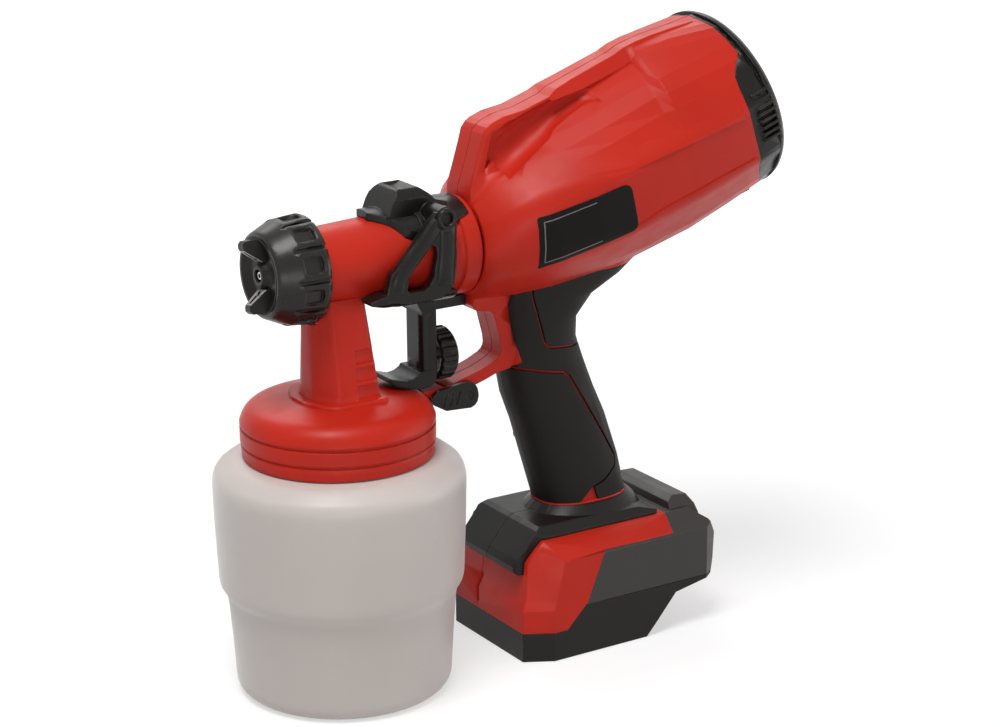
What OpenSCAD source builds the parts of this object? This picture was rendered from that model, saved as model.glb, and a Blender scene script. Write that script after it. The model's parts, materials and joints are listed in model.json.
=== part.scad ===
// Cordless paint sprayer: a turbine unit with a battery foot, and a spray head with a screw-on cup.
// The cup's axis is the Z axis and its base stands at Z = 0. The nozzle points along -X.

/* [Cup] */
// Radius of the cup at its shoulder
cup_r = 59; // [50:0.5:66]
// Radius of the cup's lower section
cup_low_r = 51; // [44:0.5:56]
// Radius of the flat base
cup_base_r = 43.5; // [36:0.5:44]
// Height of the step between the two sections
cup_step_z = 52; // [35:1:75]
// Height of the shoulder
cup_shoulder_z = 105; // [90:1:130]
// Wall of the cup
cup_wall = 2; // [1.5:0.1:3]
// Outer radius of the cup's neck
cup_neck_r = 39.5; // [34:0.5:41]

/* [Spray head] */
// Outer radius of the lid's skirt
lid_r = 45.3; // [44.5:0.1:48]
// Height from the cup's shoulder to the crown of the lid
lid_rise = 38; // [34:1:46]
// Length of the neck from the lid's crown to the barrel's axis
neck_len = 61.2; // [54:0.2:72]
// Barrel radius behind the nut
barrel_front_r = 17.6; // [17:0.1:18]
// Barrel radius at the coupling
barrel_rear_r = 20.9; // [20:0.1:21]
// Distance from the cup's axis to the front of the barrel
barrel_front = 17; // [15:0.5:24]
// Distance from the cup's axis to the joint between spray head and turbine unit
coupling_x = 66; // [64:0.5:78]
// Radius of the barrel's air passage
air_r = 15; // [13:0.5:15.5]
// Radius of the coupling spigot
spigot_r = 19; // [18:0.5:20]
// Length of the coupling spigot
spigot_len = 14; // [10:0.5:16]

/* [Nozzle] */
// Outer radius of the union nut
nut_r = 25.2; // [23.5:0.1:27]
// Length of the union nut
nut_len = 24; // [22:0.5:27]
// Number of grip pads round the union nut
nut_pads = 10; // [6:1:12]
// Radius of the paint outlet
outlet_r = 1.1; // [0.9:0.1:1.3]
// Radius of the needle
needle_r = 1.5; // [1.3:0.1:1.8]
// Height of the horns above the air cap's face
horn_len = 3.5; // [3:0.5:8]

/* [Trigger] */
// Distance from the cup's axis to the trigger's pivot
pivot_x = 44; // [42:0.5:46]
// Height of the pivot above the barrel's axis
pivot_rise = 20; // [19:0.5:21]
// Radius of the pivot pins
pivot_pin_r = 2.5; // [2:0.1:3]
// Largest pull of the trigger, in degrees
pull_angle = 9; // [6:0.5:10]
// Width of the finger piece
finger_w = 18; // [14:1:22]
// Thickness of the trigger's legs
leg_t = 3.4; // [2.6:0.1:4]
// Radius of the flow wheel
wheel_r = 12.6; // [10:0.1:12.8]
// Width of the flow wheel
wheel_w = 9; // [6:0.1:9.5]

/* [Turbine unit] */
// Upward tilt of the turbine, in degrees
pitch = 20; // [16:0.5:22]
// Length of the casing from the coupling to the filter cover
casing_len = 148; // [142:1:164]
// Largest half width of the casing
casing_w = 47; // [46:0.5:52]
// Radius of the fan chamber
chamber_r = 42; // [41:0.1:42.5]
// Depth of the filter cover behind the casing
cover_len = 7; // [6:0.5:11]
// Radius of the impeller
impeller_r = 33; // [26:0.5:34]
// Number of impeller blades
impeller_blades = 9; // [5:1:12]
// Radius of the motor
motor_r = 20; // [15:0.5:22]
// Length of the motor
motor_len = 46; // [36:1:50]
// Radius of the motor shaft
shaft_r = 2.5; // [2:0.1:3]
// Half width of the top rail
rail_w = 11; // [9:0.5:13]

/* [Handle] */
// Half width of the grip
grip_w = 17; // [15:0.5:19]
// Depth of the rubber over the handle
grip_skin = 1.5; // [1:0.1:2]
// Width of the lines between the rubber panels
line_w = 1.1; // [0.6:0.1:1.6]
// Half width of the trigger guard
guard_w = 8.4; // [7:0.2:10]

/* [Foot] */
// Half width of the foot
foot_w = 38.4; // [36:0.2:42]
// Length of the foot
foot_len = 112; // [108:1:124]
// Height of the foot without its pads
foot_h = 58.5; // [56:0.5:64]
// Half width of the battery slot
slot_w = 32.5; // [30:0.5:33.5]
// Length of the battery slot
slot_len = 92; // [80:1:94]
// Height of the battery slot's roof
slot_top = 44; // [42:0.5:46]
// Thickness of the foot's floor
floor_t = 4.5; // [3:0.5:6]

/* [Fits] */
// Radial clearance of the turning fits
run = 0.05; // [0.02:0.01:0.1]
// Gap between pieces that are fastened together
seat = 0.1; // [0.05:0.05:0.2]
// Gap between pieces that move past each other
free = 0.4; // [0.3:0.05:0.6]
// Width of the seam between the housing halves
seam = 0.3; // [0.1:0.1:0.5]

/* [Hidden] */

RED = [0.80, 0.09, 0.08];
BLACK = [0.10, 0.10, 0.11];
GREY = [0.24, 0.24, 0.25];
STEEL = [0.70, 0.71, 0.73];
$fn = 72;
big = 400;
eps = 0.01;

// ---- heights and stations ----
skirt_z = cup_shoulder_z + 10;
mouth_z = skirt_z + 16;
lid_top_z = cup_shoulder_z + lid_rise;
barrel_z = lid_top_z + neck_len;
gasket_t = 2;
pivot_z = barrel_z + pivot_rise;
turbine_x = coupling_x + 8;
foot_x = coupling_x + 14.8;
collar_x = coupling_x - 16;
nut_x = -barrel_front + 3;
cap_x = nut_x - nut_len + 8;
saddle_r = barrel_rear_r + 3.2;
leg_in = 22.7;
leg_out = leg_in + leg_t;
wheel_z = barrel_z - 51.2;
finger_x = pivot_x - 3.3;
finger_t = 7.6;
wheel_x = finger_x + finger_t + 1.6;
pusher_z = barrel_z - 26.8;
pusher_h = 4.8;
pusher_w = 6.8;
pusher_x = finger_x + finger_t + 1.2;
switch_x = coupling_x + 27;
switch_bore = 12;
latch_pin_at = [coupling_x - 1.1, barrel_z - 71.5];
lug_in = guard_w + free;
lug_out = lug_in + 2.6;
riser_r = 3.2;
tube_r = 4.5;
carrier_r = 2;
needle_travel = (pivot_rise + 0.2) * tan(pull_angle);
screw_r = 2.6;
step_y = 9.8;
cap_r = 17.4;

// ---- curves and lofts ----
// Points of a parabola that rounds the corner at `b` between `a` and `c`
function bend(a, b, c, n) =
    [for (i = [0:n]) let (t = i / n) (1 - t) * (1 - t) * a + 2 * t * (1 - t) * b + t * t * c];

function toward(a, b, d) = a + (b - a) * min(0.45, d / max(norm(b - a), eps));

// The closed outline `p` with each corner rounded over the distance d[i] in n steps
function rounded(p, d, n) = [
    for (i = [0:len(p) - 1])
        let (
            before = p[(i + len(p) - 1) % len(p)],
            after = p[(i + 1) % len(p)],
            r = is_list(d) ? d[i] : d
        )
        each (r == 0 ? [p[i]]
            : bend(toward(p[i], before, r), p[i], toward(p[i], after, r), n))
];

function total(v, i = 0) = i == len(v) - 1 ? v[i] : v[i] + total(v, i + 1);

// True where the ring turns anticlockwise as seen from the next ring
function anticlockwise(ring, next) =
    let (
        n = len(ring),
        middle = total(ring) / n,
        turn = total([for (i = [0:n - 1]) cross(ring[i] - middle, ring[(i + 1) % n] - middle)])
    )
    turn * (total(next) / n - middle) > 0;

// A closed solid through rings of points, all with the same number of points
module loft(rings) {
    n = len(rings[0]);
    last = len(rings) - 1;
    sides = [
        for (k = [0:last - 1], i = [0:n - 1])
            let (a = k * n + i, b = k * n + (i + 1) % n)
            each [[a, a + n, b], [b, a + n, b + n]]
    ];
    caps = [[for (i = [0:n - 1]) i], [for (i = [n - 1:-1:0]) last * n + i]];
    faces = concat(sides, caps);
    polyhedron(
        [for (ring = rings) each ring],
        anticlockwise(rings[0], rings[1]) ? faces : [for (f = faces) [for (i = [len(f) - 1:-1:0]) f[i]]],
        convexity = 10
    );
}

// Everything that is drawn along +X becomes a solid of revolution about X
module revolve_x(outline) {
    rotate([0, 90, 0]) rotate_extrude() polygon(outline);
}

module rod_x(r, x0, x1, r1 = -1) {
    translate([x0, 0, 0]) rotate([0, 90, 0]) cylinder(h = x1 - x0, r1 = r, r2 = r1 < 0 ? r : r1);
}

module rod_y(r, y0, y1) {
    translate([0, y0, 0]) rotate([-90, 0, 0]) cylinder(h = y1 - y0, r = r);
}

// A plate with its outline in X and Z, between the planes y0 and y1
module plate_y(y0, y1) {
    translate([0, y1, 0]) rotate([90, 0, 0]) linear_extrude(y1 - y0) children();
}

// A bar with its outline in Y and Z, between the planes x0 and x1
module bar_x(x0, x1) {
    translate([x0, 0, 0]) rotate([90, 0, 90]) linear_extrude(x1 - x0) children();
}

module both_sides() {
    children();
    mirror([0, 1, 0]) children();
}

module on_barrel_axis() {
    translate([0, 0, barrel_z]) children();
}

// The turbine's frame: +X along its axis towards the rear
module on_turbine_axis() {
    translate([turbine_x, 0, barrel_z]) rotate([0, -pitch, 0]) children();
}

// A coil spring along +X
module coil_x(r, wire, x0, x1, turns, steps = 8, sides = 6) {
    loft([
        for (k = [0:turns * steps])
            let (
                t = k / (turns * steps),
                a = 360 * turns * t,
                x = x0 + wire + (x1 - x0 - 2 * wire) * t
            )
            [for (i = [0:sides - 1])
                let (b = -360 * i / sides, q = r - wire + wire * cos(b))
                [x + wire * sin(b), q * cos(a), q * sin(a)]]
    ]);
}

// ================= spray head =================

module gun_body() color(RED) {
    difference() {
        union() {
            lid_outside();
            difference() {
                neck_outside();
                on_barrel_axis() rod_x(nut_r + 0.6, -barrel_front - 10, nut_x + free);
            }
            on_barrel_axis() {
                rod_x(barrel_front_r, -barrel_front, collar_x, barrel_rear_r);
                rod_x(16, cap_x + 1.1, -barrel_front + eps);
            }
        }
        lid_inside();
        on_barrel_axis() {
            difference() {
                rod_x(air_r, -8, collar_x + 1);
                // web that carries the fluid tube
                translate([0, 0, -air_r - 1]) cylinder(r = 7.5, h = air_r + 8.5);
            }
            rod_x(12, cap_x, -barrel_front + 3);
            rod_x(tube_r + seat, -barrel_front - 1, 30);
            for (i = [0:7]) rotate([i * 45 + 22.5, 0, 0]) translate([0, 9.2, 0])
                rod_x(1.9, -barrel_front - 1, -7);
            // slots for the needle's crossbar
            translate([pivot_x - 1 - carrier_r - free, -30, -carrier_r - free])
                cube([needle_travel + 2 * (carrier_r + free), 60, 2 * (carrier_r + free)]);
        }
        // riser bore
        translate([0, 0, lid_top_z - 20]) cylinder(r = riser_r, h = neck_len + 20);
        neck_steps();
    }
}

module lid_outside() {
    rotate_extrude() polygon(concat(
        [[0, skirt_z], [lid_r - 0.8, skirt_z], [lid_r - 0.3, skirt_z + 5.6]],
        [[lid_r - 1.2, skirt_z + 6], [lid_r - 1.2, skirt_z + 6.8], [lid_r, skirt_z + 7.2]],
        [[lid_r, skirt_z + 13.6], [lid_r - 0.9, skirt_z + 14], [lid_r - 0.9, skirt_z + 14.8]],
        [[lid_r, skirt_z + 15.2]],
        lid_crown(0)
    ));
}

// Outline of the lid's shoulder and top, with a gap outside it
function lid_crown(gap) = concat(
    gap > 0 ? [[0, skirt_z + 16], [lid_r + gap, skirt_z + 16]] : [],
    bend(
        [lid_r + gap, lid_top_z - 11.6], [lid_r - 2 + gap, lid_top_z - 4.4 + gap],
        [lid_r - 9 + gap, lid_top_z - 3.2 + gap], 6
    ),
    [[18, lid_top_z + gap], [0, lid_top_z + gap]]
);

module lid_inside() {
    ceiling = mouth_z + gasket_t + 0.3;
    rotate_extrude() polygon([
        [0, skirt_z - 1], [cup_neck_r + 1.6, skirt_z - 1], [cup_neck_r + 1.6, ceiling],
        [cup_neck_r - 5, ceiling], [cup_neck_r - 8, lid_top_z - 6.8], [10, lid_top_z - 4.6],
        [0, lid_top_z - 4.6]
    ]);
}

// Six-sided neck that tapers from the lid up to the barrel
module neck_outside() {
    low = [[-16.3, 5.6], [-16.3, -5.6], [-9, -18.2], [13, -18.2], [13, 18.2], [-9, 18.2]];
    high = [[-15.2, 4.2], [-15.2, -4.2], [-9, -12.8], [8.9, -12.8], [8.9, 12.8], [-9, 12.8]];
    flare = 1 + 3.4 / 18;
    loft([
        for (level = [[lid_top_z - 4, low * flare], [lid_top_z - 0.6, low * (1 + 1.2 / 18)],
            [lid_top_z + 3.4, low], [barrel_z - 14, high]])
            [for (p = rounded(level[1], 2.5, 2)) [p.x, p.y, level[0]]]
    ]);
}

// Three shallow steps on the neck's flanks
module neck_steps() {
    rise = neck_len - 17.4;
    both_sides() for (i = [0:2])
        let (z = 1 + 8.2 * i, y = 18.2 - 5.4 * max(z - 3.4, 0) / rise)
        translate([1, -y, lid_top_z + z]) rotate([-atan(5.4 / rise), 0, 0])
            translate([0, -2, 0]) cube([20, 3.2, 6.2]);
}

// Keeper at the rear of the lid that the latch lever holds
module latch_keeper() color(RED) difference() {
    plate_y(-guard_w, guard_w) polygon([
        [lid_r - 5, lid_top_z - 5.2], [coupling_x - 14, lid_top_z - 4.6], [coupling_x - 13, lid_top_z - 5.6],
        [coupling_x - 13, lid_top_z - 8.4], [lid_r - 5, lid_top_z - 8.8]
    ]);
    rotate_extrude() polygon(lid_crown(seat));
}

module coupling_collar() color(RED) on_barrel_axis() {
    difference() {
        revolve_x(collar_outline(0));
        rod_x(air_r, collar_x - 1, coupling_x + 20);
    }
    spring_seat();
}

function collar_outline(extra) = [
    [0, collar_x + seat], [21 + extra, collar_x + seat], [21.6 + extra, collar_x + 6],
    [23.3 + extra, collar_x + 7.2], [23.3 + extra, coupling_x - 1], [22.6 + extra, coupling_x - 0.4],
    [spigot_r + extra, coupling_x - 0.4], [spigot_r + extra, coupling_x + spigot_len - 1],
    [spigot_r - 1 + extra, coupling_x + spigot_len], [0, coupling_x + spigot_len]
];

// Three-armed seat for the needle spring, part of the collar's bore
module spring_seat() {
    rod_x(5, coupling_x - 3, coupling_x);
    for (i = [0:2]) rotate([i * 120, 0, 0]) translate([coupling_x - 3, -1.2, 3])
        cube([3, 2.4, air_r - 2.4]);
}

module trigger_saddle() color(BLACK) difference() {
    union() {
        on_barrel_axis() {
            // band round the rear of the barrel
            intersection() {
                rod_x(saddle_r, pivot_x - 8, coupling_x - 3.5);
                saddle_band_mask();
            }
            // front tab
            intersection() {
                rod_x(saddle_r - 1.2, 15, pivot_x);
                translate([0, 0, 10]) linear_extrude(30) polygon([
                    [15, 4.6], [19, 8], [23, 11], [28, 16.4], [34, 18.6], [pivot_x, 19],
                    [pivot_x, -19], [34, -18.6], [28, -16.4], [23, -11], [19, -8], [15, -4.6]
                ]);
            }
            // hump
            intersection() {
                plate_y(-12, 12) polygon(concat(
                    [[22, 20], [24, 25]],
                    bend([27, 29.5], [29.5, 33.6], [36, 33.6], 4),
                    bend([38, 33], [43, 30.5], [47, 26], 3),
                    [[53, 24], [53, 18]]
                ));
                translate([0, 0, 8]) rotate([0, 90, 0]) linear_extrude(60) polygon(
                    rounded([[5, 14], [5, -14], [-20, -12.5], [-26, -6], [-26, 6], [-20, 12.5]], 3, 2)
                );
            }
            both_sides() translate([pivot_x, 0, pivot_rise]) rod_y(5.2, 12, leg_in - free);
        }
    }
    on_barrel_axis() {
        rod_x(barrel_front_r + 0.2, -barrel_front, collar_x, barrel_rear_r + 0.2);
        revolve_x(collar_outline(2 * seat));
        // finger hollow on the hump
        translate([35, 0, 44]) rotate([90, 0, 0]) translate([0, 0, -8]) cylinder(r = 13, h = 16);
        translate([pivot_x, 0, pivot_rise]) both_sides() rod_y(pivot_pin_r, 16, 30);
    }
}

module saddle_band_mask() {
    plate_y(-40, 40) polygon([
        [pivot_x - 8, 12], [pivot_x - 8, 40], [coupling_x, 40], [coupling_x, 19.4],
        [pivot_x + 9, 15.6], [pivot_x + 5, 12]
    ]);
}

module pivot_pins() color(STEEL) both_sides() translate([pivot_x, 0, pivot_z]) {
    rod_y(pivot_pin_r - run, -leg_out - 0.2, -16.2);
}

module fluid_tube() color(BLACK) on_barrel_axis() difference() {
    union() {
        rod_x(tube_r, -27, 26);
        rod_x(7, -27, -22);
    }
    rod_x(needle_r + 1, -28, 21);
    rod_x(needle_r + run, 20, 27);
    translate([0, 0, -tube_r - 1]) cylinder(r = 2.4, h = tube_r + 1);
}

module packing_nut() color(STEEL) on_barrel_axis() difference() {
    union() {
        translate([26 + seat, 0, 0]) rotate([0, 90, 0]) cylinder(r = 6, h = 5, $fn = 6);
        rod_x(3.6, 31, 34);
    }
    rod_x(needle_r + run, 26, 35);
}

module fluid_nozzle() color(STEEL) on_barrel_axis() difference() {
    revolve_x([
        [0, cap_x - 7.6], [1.7, cap_x - 7.6], [2.4, cap_x - 5.5], [5.6, cap_x - 3.5], [7, cap_x - 1],
        [7, -27 - seat], [0, -27 - seat]
    ]);
    rod_x(needle_r + 1, cap_x - 2, 0);
    rod_x(outlet_r, cap_x - 8, cap_x);
    rod_x(outlet_r, cap_x - 5, cap_x - 2 + eps, needle_r + 1);
}

module needle() color(STEEL) on_barrel_axis() {
    rod_x(0.5, cap_x - 4.6, cap_x - 2, needle_r);
    rod_x(needle_r, cap_x - 2, pivot_x - 1 + 5);
}

module needle_carrier() color(BLACK) on_barrel_axis() difference() {
    union() {
        rod_x(5, pivot_x - 5, pivot_x + 4);
        translate([pivot_x - 1, 0, 0]) rod_y(carrier_r, -leg_in - 2.2, leg_in + 2.2);
    }
    rod_x(needle_r, 20, pivot_x + 10);
}

module needle_spring() color(STEEL) on_barrel_axis()
    coil_x(4.6, 0.5, pivot_x + 4.1, coupling_x - 3.1, 6);

module union_nut() color(BLACK) on_barrel_axis() difference() {
    revolve_x([
        [0, nut_x - nut_len], [cap_r + 1.2, nut_x - nut_len], [cap_r + 2.4, nut_x - nut_len + 1],
        [nut_r - 2.2, nut_x - 16], [nut_r - 1, nut_x - 13.6], [nut_r, nut_x - 2],
        [nut_r - 0.8, nut_x], [0, nut_x]
    ]);
    // thread and lip
    rod_x(barrel_front_r + 0.6, nut_x - 3, nut_x + 1);
    rod_x(cap_r + 1.2 + run, cap_x - 1.7, cap_x + 1.3);
    rod_x(16 + run, cap_x - 1, nut_x);
    rod_x(cap_r + run, nut_x - nut_len - 1, cap_x);
    // grip pads with a pocket each, separated by flutes
    for (i = [0:nut_pads - 1]) rotate([360 / nut_pads * i, 0, 0]) {
        translate([nut_x - 12.5, -3.8, nut_r - 2.2]) cube([9, 7.6, 5]);
        rotate([180 / nut_pads, 0, 0]) translate([nut_x - 19, -1, nut_r - 2.2])
            cube([20, 2, 4]);
    }
}

module air_cap() color(BLACK) on_barrel_axis() difference() {
    union() {
        rod_x(cap_r + 1.2, cap_x - 1.6, cap_x + 1);
        rod_x(cap_r, cap_x - 7.4, cap_x);
        // raised centre
        rod_x(4.6, cap_x - 8.4, cap_x, 7);
        for (side = HORNS) rotate([side, 0, 0]) horn();
    }
    // dish of the face
    difference() {
        rod_x(cap_r - 1, cap_x - 8, cap_x - 5.2, cap_r - 4);
        rod_x(5, cap_x - 8.6, cap_x - 5, 11);
        for (side = HORNS) rotate([side, 0, 0]) translate([cap_x - 9, -6.5, 5]) cube([9, 13, cap_r - 6]);
    }
    rod_x(7.6, cap_x - 3.4, cap_x + 0.2);
    rod_x(9.4, cap_x, cap_x + 2);
    rod_x(3.3, cap_x - 6.1, cap_x - 3.3, 6.8);
    rod_x(2.9, cap_x - 10, cap_x);
    // air slots in the horns
    for (side = HORNS) rotate([side, 0, 0]) translate([cap_x - 8 - horn_len / 2, 0, 9.6])
        rotate([0, 50, 0]) translate([-1.2, -4.4, -2]) cube([2.4, 8.8, 7]);
}

// The air cap's two horns, turned a little from the upright
HORNS = [-20, 160];

module horn() {
    plate_y(-6.4, 6.4) polygon([
        [cap_x - 4, 5.6], [cap_x - 7, 6.4], [cap_x - 8 - horn_len, 12], [cap_x - 8 - horn_len, 14.4],
        [cap_x - 7, 16], [cap_x - 4, 16]
    ]);
}

module trigger() color(BLACK) difference() {
    union() {
        translate([pivot_x, 0, pivot_z]) {
            both_sides() {
                rod_y(5.6, leg_in, leg_out);
                leg_plate();
            }
            yoke_strap();
        }
        finger_piece();
    }
    translate([pivot_x, 0, pivot_z]) {
        rod_y(pivot_pin_r, -40, 40);
        // the neck stands between the strap's front tips
        translate([-pivot_x - 1, -16.5, -45]) cube([12.2, 33, 20]);
        // the barrel's way through the yoke, from rest to full pull
        for (a = [0:2]) rotate([0, pull_angle * a / 2, 0]) translate([-pivot_x, 0, -pivot_rise])
            rod_x(barrel_front_r + 0.7, -barrel_front, collar_x, barrel_rear_r + 0.7);
        for (a = [0:2]) rotate([0, pull_angle * a / 2, 0]) translate([-pivot_x, 0, -pivot_rise])
            revolve_x(collar_outline(0.6));
        // pockets that drive the needle's crossbar
        both_sides() translate([-1, 0, -pivot_rise]) {
            translate([-carrier_r - 0.45, leg_in - 1, -carrier_r - 0.8])
                cube([2 * carrier_r + 0.9, 3.6, 2 * carrier_r + 1.6]);
        }
    }
    translate([0, 0, wheel_z]) rod_x(screw_r + run, finger_x + 1.4, wheel_x + 2);
}

module leg_plate() {
    plate_y(leg_in, leg_out) difference() {
        polygon(concat(
            [[-4.8, 3.4], [-26.4, -20.6], [-28.8, -22.4], [-31.2, -31.5], [-30.4, -34.4], [-21, -36.8]],
            [[-6, -36.8]],
            bend([-3, -36.6], [4.4, -34], [5, -25], 4),
            [[5.5, -17], [5.6, 0.4]]
        ));
        polygon(concat(
            [[-7.2, -11], [-19.6, -24.2], [-20.8, -30.4], [-19.6, -31.6]],
            bend([-12, -31.8], [-7.6, -30.8], [-6.4, -25], 3),
            [[-4.8, -17]],
            bend([-4.7, -14.4], [-4.6, -11.6], [-7.2, -11], 2)
        ));
    }
}

module yoke_strap() {
    intersection() {
        plate_y(-leg_out, leg_out) polygon([
            [-32, -31.6], [-39.4, -33.2], [-39, -35.2], [-32, -37.2], [-26, -38], [-21, -40],
            [-14, -43.4], [4.3, -43.4], [5.8, -40], [6, -34], [-20, -32.5]
        ]);
        bar_x(-40, 10) polygon(rounded(
            [[-leg_out, -20], [-leg_out, -35.4], [-21.5, -39], [-9.6, -41.8], [-4, -43.4], [4, -43.4],
                [9.6, -41.8], [21.5, -39], [leg_out, -35.4], [leg_out, -20]],
            [0, 2, 3, 2, 1, 1, 2, 3, 2, 0], 2
        ));
    }
}

module finger_piece() {
    top = pivot_z - 42;
    half = finger_w / 2;
    back = finger_x + finger_t;
    intersection() {
        plate_y(-half, half) polygon(concat(
            [[back, top], [finger_x - 3, top], [finger_x, top - 6]],
            bend([finger_x, barrel_z - 52], [finger_x - 1, barrel_z - 59.2],
                [finger_x - 9, barrel_z - 59.4], 4),
            [[finger_x - 16.8, barrel_z - 57], [finger_x - 18, barrel_z - 58.4]],
            bend([finger_x - 14, barrel_z - 61.2], [finger_x - 6, barrel_z - 64.4],
                [finger_x + 1, barrel_z - 64.4], 4),
            bend([finger_x + 2, barrel_z - 64.4], [back, barrel_z - 64.2], [back, barrel_z - 58], 3)
        ));
        union() {
            // rounded front of the finger piece
            translate([0, 0, barrel_z - 100]) linear_extrude(100) polygon(concat(
                bend([back - 2, half], [finger_x - 1.4, half], [finger_x - 0.2, 0], 5),
                bend([finger_x - 0.2, 0], [finger_x - 1.4, -half], [back - 2, -half], 5),
                [[back, -half], [back, half]]
            ));
            translate([0, 0, barrel_z - 100]) linear_extrude(44) polygon(rounded(
                [[finger_x - 20, half], [finger_x - 20, -half], [back, -half], [back, half]],
                [7, 7, 0, 0], 4
            ));
            translate([0, 0, top - 7]) linear_extrude(8) square([200, finger_w], center = true);
        }
    }
}

module adjust_screw() color(STEEL) translate([0, 0, wheel_z]) {
    rod_x(screw_r, finger_x + 1.5, wheel_x + wheel_w - 2);
}

module flow_wheel() color(BLACK) translate([0, 0, wheel_z]) difference() {
    revolve_x([
        [0, wheel_x], [wheel_r - 1.8, wheel_x], [wheel_r, wheel_x + 1], [wheel_r, wheel_x + wheel_w - 1.4],
        [wheel_r - 1.4, wheel_x + wheel_w], [0, wheel_x + wheel_w]
    ]);
    rod_x(screw_r, wheel_x - 1, wheel_x + wheel_w - 2);
    rod_x(wheel_r - 3.6, wheel_x - 1, wheel_x + 1.6);
    for (i = [0:17]) rotate([20 * i, 0, 0]) translate([wheel_x - 1, 0, wheel_r + 0.5])
        rod_x(1.3, 0, wheel_w + 2);
}

module lid_gasket() color("dimgray") difference() {
    translate([0, 0, mouth_z + 0.2]) cylinder(r = cup_neck_r + 1.4, h = gasket_t);
    translate([0, 0, mouth_z - 1]) cylinder(r = cup_neck_r - 4.6, h = gasket_t + 3);
}

module suction_tube() color("gainsboro") difference() {
    translate([0, 0, 8]) cylinder(r = riser_r - seat, h = lid_top_z - 2);
    translate([0, 0, 7]) cylinder(r = riser_r - seat - 0.8, h = lid_top_z);
    // slanted foot of the tube
    translate([0, 0, 8]) rotate([0, 30, 0]) translate([-20, -10, -20]) cube([40, 20, 20]);
}

module cup() color([0.93, 0.93, 0.92, 0.8]) {
    top_low = cup_step_z - 4;
    body = concat(
        [[cup_base_r, 0]],
        bend([cup_base_r + 1, 0], [cup_low_r - 0.4, 0.6], [cup_low_r, 7.5], 6),
        [[cup_low_r + 0.9, 24]],
        bend([cup_low_r + 2.2, top_low - 6], [cup_low_r + 2.8, top_low], [cup_low_r + 3.9, top_low + 2], 3),
        bend([cup_r - 2.6, cup_step_z + 0.4], [cup_r - 1.6, cup_step_z + 1.8], [cup_r - 1.5, cup_step_z + 5], 3),
        [[cup_r - 0.5, cup_shoulder_z - 24]],
        bend([cup_r, cup_shoulder_z - 4], [cup_r, cup_shoulder_z + 2.4], [cup_r - 3.6, cup_shoulder_z + 4.4], 4),
        bend([cup_r - 8, skirt_z - 2.4], [cup_r - 11, skirt_z - 0.6], [cup_neck_r + 2, skirt_z - 0.6], 3)
    );
    thread_r = cup_neck_r + 1.6 - run;
    rotate_extrude() difference() {
        polygon(concat(
            [[0, 0]],
            body,
            [[cup_neck_r, skirt_z - 0.4]],
            [for (k = [0, 5]) each [
                [cup_neck_r, skirt_z + 3 + k], [thread_r, skirt_z + 4 + k],
                [thread_r, skirt_z + 5.4 + k], [cup_neck_r, skirt_z + 6.4 + k]
            ]],
            [[cup_neck_r, mouth_z], [0, mouth_z]]
        ));
        polygon(concat(
            [[0, cup_wall]],
            [for (p = body) [p.x - cup_wall, min(max(p.y, cup_wall), skirt_z - 2.6)]],
            [[cup_neck_r - cup_wall, mouth_z + 1], [0, mouth_z + 1]]
        ));
    }
}

// ================= turbine unit =================

// One outline of the casing, `s` along the axis and tilted by the share `tilt` of the pitch.
// `p` is its half from crown to belly: [Y, height, shift along the axis]; `soft` rounds the flanks' edges.
function casing_station(s, tilt, p, soft = 2.4) =
    let (
        half = [for (q = p) [q.x * casing_w / 47, q.y, len(q) > 2 ? q[2] : 0]],
        ring = concat(half, [for (i = [len(half) - 2:-1:1]) [-half[i].x, half[i].y, half[i].z]]),
        cut = [0, 6, 9, soft, soft, 9, 0, 9, soft, soft, 9, 6],
        a = pitch * tilt
    )
    [for (q = rounded(ring, cut, 2))
        let (x = s + q.z)
        [turbine_x + x * cos(a) - q.y * sin(a), q.x, barrel_z + x * sin(pitch) * tilt + q.y * cos(a)]];

CASING = [
    casing_station(-7.4, 0, [[0, 24], [8, 23], [17.2, 17.2], [23.4, 7], [23.4, -7], [13, -20.8], [0, -24.5]], 7),
    casing_station(-4, 0, [[0, 29], [9, 27.6], [20, 20.6], [29.8, 9], [29, -9], [14, -25], [0, -28]], 7),
    casing_station(8, 0.8, [[0, 32], [10, 31], [24, 24], [37, 13.4], [35, -10], [16, -29], [0, -32]], 8),
    casing_station(22, 1, [[0, 36], [10, 35.4], [25, 27.4], [42.4, 16.4], [40, -12], [18, -34], [0, -37]], 8),
    casing_station(45, 1, [[0, 40], [10, 39.4], [27, 30.4], [45.4, 15.6], [43, -15], [20, -38.5], [0, -41.4]], 6),
    casing_station(68, 1, [[0, 42.4], [11, 42], [30.5, 31.6], [46.2, 12.4], [44.4, -17], [22, -41.5], [0, -44.4]]),
    casing_station(96, 1, [[0, 45, 7], [13, 44.4, 7], [33, 33, 2], [46.6, 10.8, -2], [45, -18.2], [24, -42.6], [0, -46]]),
    casing_station(100, 1, [[0, 50.4, 7], [13, 49, 7], [36.4, 33.4, 3], [47, 10.6], [45, -18.4], [24.2, -42.8], [0, -46.2]]),
    casing_station(125, 1, [[0, 48.6], [14, 47.4], [36.4, 31.6], [46.6, 9.2], [44.6, -18.4], [25, -41.4], [0, -46.2]]),
    casing_station(casing_len + 2, 1, [[0, 45.4], [19, 42.4], [35, 30], [45.6, 8.2], [43.2, -19], [25.2, -39.6], [0, -45.8]])
];

module casing_outside() {
    loft(CASING);
}

// Everything behind the casing's rear edge, which lies further forward on the flanks
module behind_casing(gap) {
    plate_y(-60, 60) offset(delta = -gap) translate([casing_len, 0]) polygon([
        [0, 60], [0, 31], [-5, 27.5], [-9, 24], [-10.4, 18], [-11.2, 10], [-11.2, -22],
        [-5.5, -36], [-0.4, -43], [0, -60], [60, -60], [60, 60]
    ]);
}

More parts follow.
